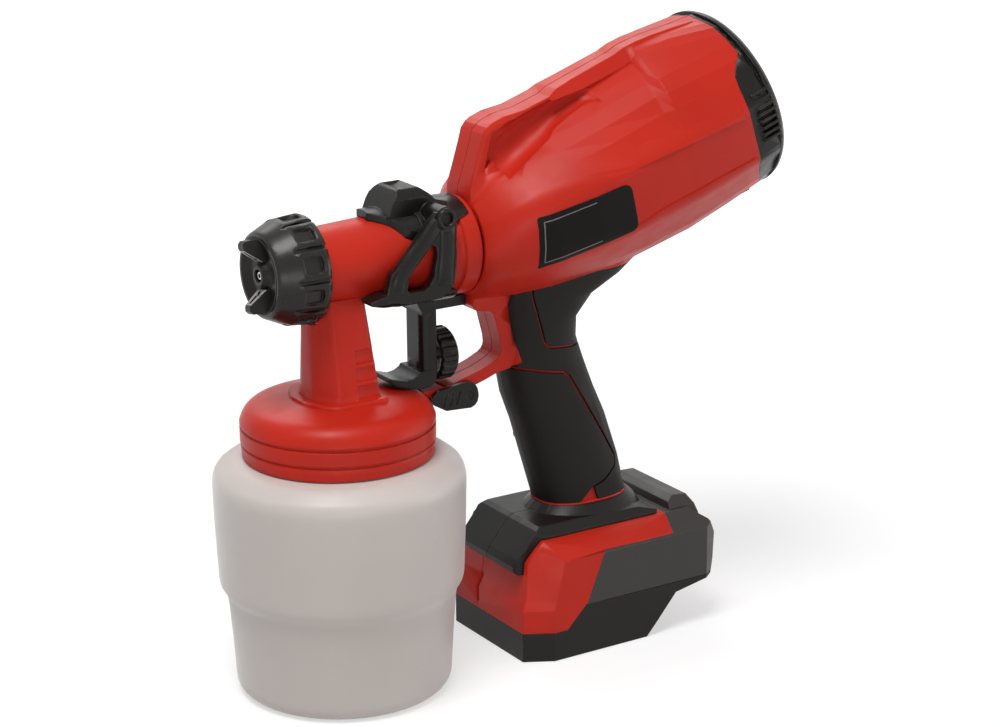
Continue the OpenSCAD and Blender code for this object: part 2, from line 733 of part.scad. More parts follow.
// The fan chamber and the duct that narrows towards the coupling
module casing_inside() {
    on_turbine_axis() revolve_x([
        [0, 10], [20, 12], [28, 24], [34, 45], [37.6, 68], [chamber_r - 2, 92], [chamber_r, 98],
        [chamber_r, casing_len + 3], [0, casing_len + 3]
    ]);
    on_barrel_axis() {
        rod_x(spigot_r + run, coupling_x - 4, coupling_x + spigot_len + 2.2);
        rod_x(air_r, coupling_x, coupling_x + 24);
    }
}

// Rail along the top of the casing: distance along the axis, top, width of the bevel
RAIL = [
    [0.6, 23, 0.4], [2, 28, 1.4], [8, 35.6, 1.4], [14, 43.4, 1.4], [18, 49, 1.4], [21, 50.8, 1.4],
    [24, 51.5, 1.4], [31, 51.5, 1.4], [36.5, 50.4, 1.4], [42, 49.4, 1.4], [57, 49, 1.4], [62, 50.2, 2.6],
    [72, 50.3, 3.6], [98, 50.2, 4], [104, 51, 4], [112, 50.7, 4], [121, 49.6, 4], [133, 47.6, 4],
    [145, 45.2, 4]
];

module top_rail() {
    on_turbine_axis() loft([
        for (k = RAIL)
            [for (q = [[-rail_w, 22], [-rail_w, k.y - 1.5 * k.z], [k.z - rail_w, k.y], [rail_w - k.z, k.y],
                [rail_w, k.y - 1.5 * k.z], [rail_w, 22]])
                [k.x, q.x, q.y]]
    ]);
}

// Finger hollows beside the rail's web, each with a shallow groove behind it
module rail_hollows() {
    both_sides() on_turbine_axis() intersection() {
        union() {
            plate_y(rail_w - 4, rail_w + 4) polygon([
                [12.5, 33.5], [22, 47.4], [35, 47.6], [36.6, 48.4], [56, 48], [58, 46], [62, 45.2],
                [62, 42], [45, 39.8], [22, 36]
            ]);
            loft([
                for (k = [[18, 17.5, 38.2, 11], [30, 16.5, 40.2, 10.2], [41, 15.6, 41.9, 9.2],
                    [46, 14.6, 42.2, 8], [52, 13, 42.8, 6.6], [60, 12.4, 43.6, 6.2], [71, 12.6, 44.6, 5.6],
                    [77.5, 17.4, 45.4, 7.4]])
                    [for (i = [0:19]) [k[0], k[1] + k[3] * cos(18 * i), k[2] + k[3] * sin(18 * i)]]
            ]);
        }
        plate_y(rail_w - 4.4, 40) polygon([
            [10, 20], [10, 30.4], [22, 47.4], [35, 47.6], [36.6, 48.4], [56, 48], [58, 46],
            [79, 43.6], [79, 20]
        ]);
    }
}

function handle_z(t) = foot_h - 0.5 + t * (barrel_z - 16 - foot_h + 0.5);

// Stations of the handle: [share of its height, centre, half depth, half width]
HANDLE = [
    [0, 70, 25, 0.6], [0.092, 67, 23.8, 0], [0.223, 62.4, 24.4, 0], [0.4, 55, 23.9, 0],
    [0.515, 48.8, 23.3, 0], [0.63, 44.4, 21.8, -0.3], [0.722, 42, 20, -0.6],
    [0.8, 42, 20.5, -0.6], [0.876, 46, 26, -0.2], [0.937, 53, 36, 0.6], [1, 57, 44, 1]
];

function handle_rings(skin) = [
    for (k = HANDLE) [
        for (i = [0:27])
            let (
                a = 360 * i / 28,
                c = cos(a),
                s = sin(a),
                bulge = 1 / pow(pow(abs(c), 2.5) + pow(abs(s), 2.5), 0.4)
            )
            [coupling_x + k[1] - (k[2] - skin) * c * bulge, (grip_w + k[3] - skin) * s * bulge, handle_z(k[0])]
    ]
];

module handle_form(skin) {
    loft(handle_rings(skin));
}

// The part of the handle that is covered with rubber, in X and Z
module grip_region() {
    translate([coupling_x, barrel_z]) polygon([
        [22.6, -20], [22, -31.5], [24.6, -49.5], [27.6, -60], [19, -65.4], [14, -75],
        [30, -135.4], [140, -135.4], [140, -20]
    ]);
}

// The lines between the rubber panels
module grip_lines() {
    translate([coupling_x, barrel_z]) {
        // upper panel
        difference() {
            polygon([[31, -10], [31, -27], [37.4, -51.6], [40, -54.2], [90, -60], [90, -10]]);
            polygon([
                [31 + line_w, -10], [31 + line_w, -27], [38.4, -51], [40.6, -53.2],
                [90, -60 + line_w], [90, -10]
            ]);
        }
        // front panel
        difference() {
            polygon([
                [10, -60.8], [30, -63.2], [49, -67], [52, -69.4], [80.5, -115.4], [80.5, -121],
                [72, -127], [66, -128.8], [70, -141], [10, -141]
            ]);
            polygon([
                [10, -60.8 - line_w], [30, -63.2 - line_w], [48.6, -67 - line_w], [51, -70],
                [80.5 - line_w, -115.8], [80.5 - line_w, -120.6], [71.4, -126.2],
                [65, -128.4], [55.4, -138], [55, -141], [10, -141]
            ]);
        }
    }
}

module grip_skins() {
    difference() {
        intersection() {
            handle_form(0);
            plate_y(-60, 60) grip_region();
        }
        handle_form(grip_skin);
        casing_outside();
        plate_y(-80, 80) grip_lines();
    }
}

module grip_left() color(BLACK) intersection() {
    grip_skins();
    translate([0, -60 - seam / 2, 0]) cube([big, 60, big]);
}

module grip_right() color(BLACK) difference() {
    intersection() {
        grip_skins();
        translate([0, seam / 2, 0]) cube([big, 60, big]);
    }
    screw_wells();
}

// Trigger guard and the chin that the plunger passes through
module guard_form() {
    plate_y(-guard_w, guard_w) difference() {
        translate([coupling_x, barrel_z]) polygon(concat(
            [[1.6, -12], [1.6, -28.4], [4, -31.4], [12.6, -33.4], [14.4, -36]],
            [[17.8, -49]],
            bend([18.2, -52.6], [18.2, -55.6], [15, -57.4], 3),
            [[9.2, -60], [5.2, -61.4], [-11.8, -65.6], [-12.4, -70.6]],
            bend([2.6, -68], [9.6, -66.2], [15.8, -63.8], 2),
            [[28.5, -62], [45, -60], [45, -20], [30, -10]]
        ));
        offset(delta = seat) grip_region();
    }
}

// ---- foot ----
module foot_side_outline() {
    polygon([
        [0, 0], [0, foot_h - 18], [4.2, foot_h - 11], [13.4, foot_h], [foot_len - 13, foot_h],
        [foot_len - 5, foot_h - 5.5], [foot_len, foot_h - 14], [foot_len - 1.4, 31],
        [foot_len - 3.6, 24], [foot_len - 26.6, 19.7], [foot_len - 38.6, 5.9], [foot_len - 44, 0]
    ]);
}

// The foot's plan at three heights: [Z, front, front corner, side corner]
FOOT_FRONT = [[-1, 0, 0, 13.8], [26, 0, 0, 13.8], [31, 2.8, 1.4, 15], [foot_h + 2, 6.4, 4, 22.4]];

module foot_form(shrink) {
    half = foot_w - shrink;
    intersection() {
        translate([foot_x, 0, 0]) plate_y(-half, half) offset(delta = -shrink) foot_side_outline();
        loft([
            for (k = FOOT_FRONT)
                [for (q = [
                    [k[1] + shrink, -foot_w + 7.5 + k[2] + shrink / 2], [k[3] + shrink / 2, -half],
                    [foot_len - 8, -half], [foot_len - shrink, -foot_w + 5 + shrink / 2],
                    [foot_len - shrink, foot_w - 5 - shrink / 2], [foot_len - 8, half],
                    [k[3] + shrink / 2, half], [k[1] + shrink, foot_w - 7.5 - k[2] - shrink / 2]
                ]) [foot_x + q.x, q.y, k[0]]]
        ]);
        bar_x(foot_x - 10, foot_x + foot_len + 10) polygon([
            [-half, -1], [-half, foot_h - 8.5], [-foot_w + 11, foot_h + 1], [foot_w - 11, foot_h + 1],
            [half, foot_h - 8.5], [half, -1]
        ]);
    }
}

// Outline of the foot's black lower part, in X from the foot's front and Z
module base_region(grow) {
    polygon([
        [-5, -1], [-5, 14.5 + grow], [21, 14.5 + grow], [32, 25.4 + grow], [foot_len + 5, 24.4 + grow],
        [foot_len + 5, -1]
    ]);
}

module bumper_region(grow) {
    offset(delta = grow) polygon([
        [32.6, 25.4], [43, foot_h - 7.8], [foot_len - 28, foot_h - 7.8], [foot_len - 24, foot_h + 20],
        [foot_len + 20, foot_h + 20], [foot_len + 20, 25.4]
    ]);
}

module battery_slot() {
    translate([foot_x + foot_len - slot_len, -slot_w, floor_t]) cube([slot_len + 10, 2 * slot_w, slot_top - floor_t]);
}

// Rails that the battery slides on
module slot_rails() {
    both_sides() translate([foot_x + foot_len - slot_len + 8, slot_w - 3.4, 29])
        cube([slot_len - 16, 3.4 + eps, 2.6]);
}

module foot_shell() {
    difference() {
        foot_form(0);
        translate([foot_x, 0, 0]) plate_y(-60, 60) base_region(seat);
        difference() {
            translate([foot_x, 0, 0]) plate_y(-60, 60) bumper_region(seat);
            foot_form(2.2);
        }
        difference() {
            battery_slot();
            slot_rails();
        }
        foot_pocket();
        base_screw_holes();
        // drain slot in the front face
        translate([foot_x - 1, step_y - 1.2, 18]) cube([4.4, 2.4, 15]);
    }
}

// Room for the terminal block and the board at the front of the foot
module foot_pocket() {
    translate([foot_x + 8.4, -28, 10]) cube([foot_len - slot_len - 6.4, 56, slot_top - 10]);
    translate([foot_x + 24, -20, slot_top - 1]) cube([58, 40, 8]);
}

module foot_base() color(BLACK) difference() {
    intersection() {
        foot_form(0);
        translate([foot_x, 0, 0]) plate_y(-60, 60) base_region(0);
    }
    battery_slot();
    translate([foot_x + 8.4, -28, floor_t]) cube([foot_len - slot_len - 4.4, 56, 30]);
    base_screw_holes();
}

// Screws between the base and the front of the foot: X from the foot's front, and Y
BASE_SCREWS = [[4.8, 22], [4.8, -22]];

module base_screw_holes() {
    for (p = BASE_SCREWS) translate([foot_x + p.x, p.y, -1]) {
        cylinder(r = 3.4, h = 4.2);
        cylinder(r = 1.6, h = 17);
    }
}

module base_screws() color(STEEL) for (p = BASE_SCREWS) translate([foot_x + p.x, p.y, 0]) {
    translate([0, 0, 0.8]) cylinder(r = 3.2, h = 2.3);
    translate([0, 0, 3]) cylinder(r = 1.5, h = 12);
}

module rear_bumper() color(GREY) difference() {
    union() {
        intersection() {
            foot_form(0);
            translate([foot_x, 0, 0]) plate_y(-60, 60) bumper_region(0);
        }
        // lip over the foot's rear edge
        translate([foot_x, 0, 0]) intersection() {
            plate_y(-27, 27) polygon([
                [foot_len - 24, foot_h - 2], [foot_len - 22, foot_h + 3.4], [foot_len - 18, foot_h + 5.6],
                [foot_len - 10, foot_h + 5], [foot_len - 5, foot_h - 5]
            ]);
            bar_x(0, 200) polygon([
                [-27, 0], [-27, foot_h + 1], [-22, foot_h + 5.6], [22, foot_h + 5.6],
                [27, foot_h + 1], [27, 0]
            ]);
        }
    }
    foot_form(2.2 - seat);
    battery_slot();
}

module foot_pad() color(BLACK) difference() {
    union() {
        translate([foot_x, 0, 0]) intersection() {
            plate_y(-28, 28) polygon([
                [1.4, foot_h - 16], [-0.4, foot_h - 14.4], [-0.6, foot_h - 11.8], [1.2, foot_h - 8.4],
                [12, foot_h + 4.2], [15.4, foot_h + 6], [foot_len - 40, foot_h + 4.6],
                [foot_len - 30, foot_h + 2], [foot_len - 30, foot_h - 2], [16, foot_h - 2],
                [7, foot_h - 11], [5.4, foot_h - 16]
            ]);
            // rounded corners of the nose
            translate([0, 0, foot_h - 30]) linear_extrude(60) polygon(rounded(
                [[-1, -25], [9, -25.6], [16, -27.4], [foot_len - 29, -27.4], [foot_len - 29, 27.4],
                    [16, 27.4], [9, 25.6], [-1, 25]],
                [4, 2, 2, 4, 4, 2, 2, 4], 3
            ));
            bar_x(-10, 150) polygon([
                [-27.4, 0], [-27.4, foot_h + 1.4], [-23.4, foot_h + 5.6], [23.4, foot_h + 5.6],
                [27.4, foot_h + 1.4], [27.4, 0]
            ]);
        }
        // collar that rises to the handle
        loft([
            for (k = [[foot_h + 2, 8], [foot_h + 6, 5.4], [foot_h + 9.4, 1.6]])
                [for (i = [0:27])
                    let (a = 360 * i / 28)
                    [coupling_x + 68 - (24 + k[1]) * cos(a), (grip_w + 0.6 + k[1]) * sin(a), k[0]]]
        ]);
    }
    foot_form(-seat);
    handle_form(-seat);
    translate([foot_x - 10, -seam / 2, foot_h - 20]) cube([40, seam, 40]);
}

// Everything that the two housing halves share
module housing_form() {
    difference() {
        union() {
            difference() {
                casing_outside();
                on_turbine_axis() behind_casing(0);
            }
            top_rail();
            handle_form(grip_skin + seat);
            intersection() {
                handle_form(0);
                difference() {
                    plate_y(-60, 60) square([1000, 1000], center = true);
                    plate_y(-70, 70) offset(delta = seat) grip_region();
                }
            }
            guard_form();
            latch_boss();
            foot_shell();
            // keel under the rear edge
            on_turbine_axis() plate_y(-7, 7) polygon([
                [casing_len - 26, -44], [casing_len - 5, -45], [casing_len - 3, -47],
                [casing_len + 2.4, -47.8], [casing_len + 1, -49.4], [casing_len - 30, -48]
            ]);
        }
        casing_inside();
        rail_hollows();
        // plunger passage and switch room
        translate([coupling_x, -pusher_w / 2 - seat, pusher_z - pusher_h / 2 - seat])
            cube([switch_x - coupling_x + 1, pusher_w + 2 * seat, pusher_h + 2 * seat]);
        switch_room();
        handle_room();
        latch_room();
    }
}

module switch_room() {
    translate([switch_x, -10.5, pusher_z - 17]) cube([19, 21, 23]);
}

// Cable room down the handle
module handle_room() {
    plate_y(-10, 10) polygon([
        [coupling_x + 30, barrel_z - 44], [coupling_x + 30, barrel_z - 56],
        [coupling_x + 42, barrel_z - 94], [coupling_x + 58, foot_h + 6], [coupling_x + 58, slot_top],
        [coupling_x + 78, slot_top], [coupling_x + 78, foot_h + 8], [coupling_x + 68, barrel_z - 94],
        [coupling_x + 54, barrel_z - 60], [coupling_x + 46, barrel_z - 44]
    ]);
}

module latch_room() {
    translate([latch_pin_at.x, 0, latch_pin_at.y]) rod_y(2, -guard_w - 1, guard_w + 1);
}

// Boss under the limb for the latch lever's pin
module latch_boss() {
    translate([latch_pin_at.x, 0, latch_pin_at.y]) {
        rod_y(3.6, -guard_w, guard_w);
        translate([-3.6, -guard_w, 0]) cube([7.2, 2 * guard_w, 4.6]);
    }
}

module housing_half(side) {
    difference() {
        housing_form();
        if (side < 0) difference() {
            translate([-100, -seam / 2, -10]) cube([big, 200, big]);
            parting_step(-seam / 2);
        }
        if (side > 0) {
            translate([-100, seam / 2 - 200, -10]) cube([big, 200, big]);
            parting_step(seam / 2);
        }
        if (side > 0) screw_wells();
        if (side < 0) for (p = SCREWS) translate([p.x.x, 0, p.x.y]) rod_y(1.6, p.z - 0.6, 1);
    }
}

// Part of the foot's front face that belongs to the left half, up to the drain slot
module parting_step(grow) {
    translate([foot_x - 2, -1, 12]) cube([10.5, step_y + 1 + grow, foot_h - 27.2 + grow]);
}

module screw_wells() {
    for (p = SCREWS) translate([p.x.x, 0, p.x.y]) {
        rod_y(3.3, p.y, 70);
        rod_y(1.6, -1, p.y + 1);
    }
}

// A point of the turbine's frame, and a point of the handle at the share `t` of its height
function turbine_point(s, h) = [
    turbine_x + s * cos(pitch) - h * sin(pitch), barrel_z + s * sin(pitch) + h * cos(pitch)
];

function handle_point(t, dx) = [coupling_x + dx + lookup(t, [for (k = HANDLE) [k[0], k[1]]]), handle_z(t)];

// Screws of the housing: place in X and Z, Y of the head's seat, Y of the tip
SCREWS = [
    [turbine_point(32, 42), 3.4, -5], [turbine_point(86, 45.2), 6.4, -8],
    [handle_point(0.915, 3.5), 12, -8], [handle_point(0.324, -17.6), 10, -8],
    [handle_point(0.232, 17.6), 10, -8], [[foot_x + 15, foot_h - 9.5], 26, -8]
];

module housing_left() color(RED) housing_half(-1);

module housing_right() color(RED) housing_half(1);

module housing_screws() color(STEEL) for (p = SCREWS) translate([p.x.x, 0, p.x.y]) {
    rod_y(3, p.y + seat, p.y + 2.6);
    rod_y(1.5, p.z, p.y + 1);
}

module fan_housing() color(GREY) on_turbine_axis() difference() {
    union() {
        difference() {
            rod_x(chamber_r - seat, 103, 128);
            rod_x(chamber_r - 2.4, 106, 126);
            rod_x(15, 120, 130);
            rod_x(shaft_r + 1, 100, 110);
        }
        // stationary vanes
        for (i = [0:11]) rotate([30 * i, 0, 0]) translate([106 - eps, impeller_r + 1.4, 0])
            rotate([35, 0, 0]) cube([5, 7.2, 1.4]);
        rod_x(9.4, 103, 109);
    }
    // outlet slots towards the motor
    for (i = [0:11]) rotate([30 * i + 15, 0, 0]) translate([102, 27, -4.5]) cube([5, 9, 9]);
    rod_x(8, 105, 110);
    rod_x(shaft_r + 1, 100, 110);
}

module motor() color(STEEL) on_turbine_axis() difference() {
    union() {
        rod_x(motor_r, 103 - seat - motor_len, 103 - seat);
        rod_x(8.6, 103 - seat - motor_len - 5, 103 - motor_len);
    }
    rod_x(shaft_r + 0.6, 0, 110);
    rod_x(6.5, 102 - motor_len - 6, 102 - motor_len);
    for (i = [0:5]) rotate([60 * i, 0, 0]) translate([103 - motor_len + 3, 12, -2]) cube([motor_len - 10, 20, 4]);
}

module front_bearing() color(STEEL) on_turbine_axis() difference() {
    rod_x(6.5 - run, 102 - motor_len - 4.5, 102 - motor_len - 0.5);
    rod_x(shaft_r + run, 0, 110);
}

module rear_bearing() color(STEEL) on_turbine_axis() difference() {
    rod_x(8 - run, 105 + seat, 108.8);
    rod_x(shaft_r + run, 100, 112);
}

module motor_shaft() color(STEEL) on_turbine_axis() rod_x(shaft_r, 102 - motor_len - 5, 123);

module impeller() color(GREY) on_turbine_axis() difference() {
    union() {
        rod_x(impeller_r, 112, 113.6);
        rod_x(6, 112, 123);
        for (i = [0:impeller_blades - 1]) rotate([360 / impeller_blades * i, 0, 0]) impeller_blade();
        difference() {
            rod_x(impeller_r, 121, 122.4);
            rod_x(14, 120, 125);
        }
    }
    rod_x(shaft_r, 100, 130);
}

module impeller_blade() {
    inner = 11;
    mid = (inner + impeller_r) / 2;
    curve = bend([inner, 0], [mid, 3], [impeller_r - 2, -9], 5);
    back = bend([impeller_r - 2, -7.8], [mid, 4.2], [inner, 1.2], 5);
    translate([113.4, 0, 0]) rotate([90, 0, 90]) linear_extrude(7.8) polygon(concat(curve, back));
}

module socket_seal() color("dimgray") on_barrel_axis() difference() {
    rod_x(spigot_r - seat, coupling_x + spigot_len + 0.2, coupling_x + spigot_len + 2.1);
    rod_x(air_r, coupling_x, coupling_x + 30);
}

module control_board() color("darkgreen") {
    translate([foot_x + 26, -18, slot_top + 2]) cube([54, 36, 1.6]);
    for (p = [[4, -12, 8], [18, 4, 10], [34, -10, 12]])
        translate([foot_x + 26 + p.x, p.y, slot_top + 3.6 - eps]) cube([p.z, 8, 3]);
    for (x = [6, 46]) translate([foot_x + 26 + x, -14, slot_top - 1 + seat]) cylinder(r = 2, h = 3);
}

module switch_body() color(GREY) {
    translate([switch_x + seat, -10.4, pusher_z - 16.9]) difference() {
        cube([18, 20.8, 22]);
        translate([-1, 10.4 - pusher_w / 2 - free, 16.9 - pusher_h / 2 - free])
            cube([switch_bore + 1, pusher_w + 2 * free, pusher_h + 2 * free]);
    }
}

module plunger() color(BLACK) translate([0, 0, pusher_z]) {
    plate_y(-pusher_w / 2, pusher_w / 2) polygon(concat(
        bend([pusher_x, -2], [pusher_x - 0.2, pusher_h / 2], [pusher_x + 3, pusher_h / 2], 3),
        [[coupling_x + 20, pusher_h / 2], [coupling_x + 20, -pusher_h / 2]],
        bend([pusher_x + 3, -pusher_h / 2], [pusher_x, -pusher_h / 2], [pusher_x, -2], 2)
    ));
}

module plunger_spring() color(STEEL) translate([0, 0, pusher_z])
    coil_x(2.1, 0.4, coupling_x + 20.1, switch_x + switch_bore, 8);

module terminal_block() color(BLACK) difference() {
    translate([foot_x + foot_len - slot_len - 6, -18, 28]) cube([8, 36, slot_top - 28 - seat]);
    blade_group(seat);
}

module blade_group(grow) {
    for (y = [-12, -4, 4, 12])
        translate([foot_x + foot_len - slot_len - 4 - grow, y - 0.4 - grow, 31 - grow])
            cube([18 + grow, 0.8 + 2 * grow, 8 + 2 * grow]);
}

module contact_blades() color(STEEL) blade_group(0);

module filter_cover() color(BLACK) difference() {
    union() {
        on_turbine_axis() revolve_x([
            [0, casing_len + 1], [43.2, casing_len + 1], [44.2, casing_len + 2.4], [46, casing_len + 2.8],
            [45.6, casing_len + cover_len - 2.4], [44.4, casing_len + cover_len - 0.6],
            [42, casing_len + cover_len], [0, casing_len + cover_len]
        ]);
        // cheeks in the casing's outline, where its flanks are cut back
        intersection() {
            casing_outside();
            on_turbine_axis() behind_casing(seat);
        }
        // plug that fits in the chamber
        on_turbine_axis() rod_x(chamber_r - run, casing_len - 6, casing_len + 2);
        cover_ribs();
    }
    on_turbine_axis() {
        rod_x(chamber_r - 4, casing_len - 20, casing_len + cover_len - 2.4);
        // inlet slots
        intersection() {
            rod_x(chamber_r - 5, casing_len + cover_len - 5, casing_len + cover_len + 1);
            for (i = [-7:7]) translate([casing_len + cover_len - 5, -50, 5 * i - 1.4]) cube([10, 100, 2.8]);
        }
    }
}

// Grip ribs on both flanks of the cover
module cover_ribs() {
    on_turbine_axis() for (i = [-4:3], side = [90, -90]) rotate([side + 4.2 * i, 0, 0])
        translate([casing_len - 7, 0, 0]) rotate([0, 90, 0]) translate([-47, -0.7, 0])
            cube([4, 1.4, cover_len + 3]);
}

module air_filter() color("gray") on_turbine_axis()
    rod_x(chamber_r - 4.3, casing_len - 5.7, casing_len + cover_len - 2.8);

module latch_lever() color(BLACK) translate([latch_pin_at.x, 0, latch_pin_at.y]) difference() {
    plate_y(-lug_out, lug_out) polygon(concat(
        bend([4.6, -1], [4.4, -5], [0.4, -6], 3),
        [[-13.2, -5.2]],
        bend([-16, -3.6], [-22.6, -0.6], [-21.4, 2.6], 3),
        [[-16.4, 5.2], [-5, 6.8]],
        bend([0, 7], [4.4, 5.4], [4.6, 0], 4)
    ));
    // the lid's skirt stands in front of the tip
    translate([-latch_pin_at.x, 0, -20]) cylinder(r = lid_r + 0.6, h = 40);
    // the limb lies between the cheeks
    plate_y(-lug_in, lug_in) polygon([
        [-5, -10], [-5, -3.4], [-16.6, -2.4], [-16.6, -10], [-30, -10], [-30, 12], [12, 12], [12, -10]
    ]);
    rod_y(1.9, -40, 40);
    both_sides() for (i = [0:2]) translate([-15.6 + 3.6 * i, lug_out - 0.7, -3])
        rotate([0, 18, 0]) cube([1.4, 2, 7]);
}

module latch_pin() color(STEEL) translate([latch_pin_at.x, 0, latch_pin_at.y]) rod_y(1.9 - run, -lug_out + 0.3, lug_out - 0.3);

gun_body();
coupling_collar();
trigger_saddle();
pivot_pins();
fluid_tube();
fluid_nozzle();
packing_nut();
lid_gasket();
suction_tube();
needle();
needle_carrier();
needle_spring();
union_nut();
air_cap();
trigger();
adjust_screw();
flow_wheel();
cup();
housing_left();
housing_right();
grip_left();
grip_right();
foot_pad();
rear_bumper();
foot_base();
housing_screws();
base_screws();
fan_housing();
motor();
front_bearing();
rear_bearing();
motor_shaft();
impeller();
socket_seal();
control_board();
switch_body();
plunger();
plunger_spring();
terminal_block();
contact_blades();
filter_cover();
air_filter();
latch_lever();
latch_pin();
latch_keeper();
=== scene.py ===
"""Finishes, fine detail, light and camera for the cordless turbine paint sprayer.

Lengths and places are in the CAD's millimetres, and MM turns them into metres. Those of the
camera and the stage are in metres.
"""

import json
import math

import bmesh
import bpy
from mathutils import Matrix, Vector
from mathutils.bvhtree import BVHTree


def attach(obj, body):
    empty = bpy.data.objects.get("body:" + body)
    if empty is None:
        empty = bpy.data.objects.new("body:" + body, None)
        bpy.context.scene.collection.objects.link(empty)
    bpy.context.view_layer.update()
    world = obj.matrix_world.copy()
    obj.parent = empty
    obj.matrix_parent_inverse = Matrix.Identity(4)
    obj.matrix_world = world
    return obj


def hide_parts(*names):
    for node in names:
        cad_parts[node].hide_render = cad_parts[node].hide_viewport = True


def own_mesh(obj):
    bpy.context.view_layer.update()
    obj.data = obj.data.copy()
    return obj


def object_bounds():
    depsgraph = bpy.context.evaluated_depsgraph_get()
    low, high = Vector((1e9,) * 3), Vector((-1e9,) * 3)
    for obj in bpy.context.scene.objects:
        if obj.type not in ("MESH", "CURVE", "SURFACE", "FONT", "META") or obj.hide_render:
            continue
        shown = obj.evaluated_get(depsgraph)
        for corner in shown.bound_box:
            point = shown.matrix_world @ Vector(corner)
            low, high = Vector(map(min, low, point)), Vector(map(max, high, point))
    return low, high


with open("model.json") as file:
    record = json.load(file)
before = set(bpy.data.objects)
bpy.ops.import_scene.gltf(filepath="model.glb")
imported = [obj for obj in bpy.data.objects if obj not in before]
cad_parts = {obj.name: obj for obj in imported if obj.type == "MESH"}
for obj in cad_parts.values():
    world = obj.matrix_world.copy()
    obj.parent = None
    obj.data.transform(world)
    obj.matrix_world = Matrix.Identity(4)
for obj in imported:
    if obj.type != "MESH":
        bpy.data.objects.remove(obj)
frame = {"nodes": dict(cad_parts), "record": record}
cad_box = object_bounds()

MM = 0.001
NODES = frame["nodes"]
BEHAVIOUR = frame["record"]["behaviour"]
BODY_OF = {node: body for body, nodes in BEHAVIOUR["bodies"].items() for node in nodes}
SLOT_OF = {part["node"]: part["material_slot"] for part in frame["record"]["subparts"]}

# ---- camera ----
PHOTO_WIDTH = 1000
FOCAL_LENGTH_IN_PIXELS = 2589.34
SENSOR_WIDTH = 36.0
CLIP_START = 0.05
CAMERA_TURN = math.radians(-32.27)
CAMERA_RISE = math.radians(17.28)
CAMERA_ROLL = math.radians(-0.47)
CAMERA_AWAY = 1.23478
CAMERA_AIM = Vector((0.08861, 0.0, 0.1415))


def make_camera():
    """The camera at the photograph's viewing angle."""
    sin_turn, cos_turn = math.sin(CAMERA_TURN), math.cos(CAMERA_TURN)
    sin_rise, cos_rise = math.sin(CAMERA_RISE), math.cos(CAMERA_RISE)
    back = Vector((sin_turn * cos_rise, -cos_turn * cos_rise, sin_rise))
    level_right = Vector((cos_turn, sin_turn, 0.0))
    level_up = back.cross(level_right)
    right = level_right * math.cos(CAMERA_ROLL) + level_up * math.sin(CAMERA_ROLL)
    up = back.cross(right)
    data = bpy.data.cameras.new("camera")
    data.sensor_width = SENSOR_WIDTH
    data.lens = FOCAL_LENGTH_IN_PIXELS / PHOTO_WIDTH * SENSOR_WIDTH
    data.clip_start = CLIP_START
    camera = link(bpy.data.objects.new("camera", data))
    place = Matrix((right, up, back)).transposed().to_4x4()
    place.translation = CAMERA_AIM + back * CAMERA_AWAY
    camera.matrix_world = place
    bpy.context.scene.camera = camera


# ---- node trees ----
BEVEL_SAMPLES = 4
# how squarely a rounded normal meets the flat one: on open faces, and where an edge is painted
# fully paler, partly as worn by rubbing and partly as a highlight
OPEN_TO_WORN_AND_HIGHLIT = (0.999, 0.93)
SEAM_SOFT = 0.1 * MM


def seen_by_eye(nodes, links):
    """1 for what the camera sees, also in gloss or through glass, 0 for light on the object."""
    path = nodes.new("ShaderNodeLightPath")
    total = path.outputs["Is Camera Ray"]
    for output in ("Is Glossy Ray", "Is Transmission Ray"):
        either = nodes.new("ShaderNodeMath")
        either.operation = "MAXIMUM"
        links.new(total, either.inputs[0])
        links.new(path.outputs[output], either.inputs[1])
        total = either.outputs[0]
    return total


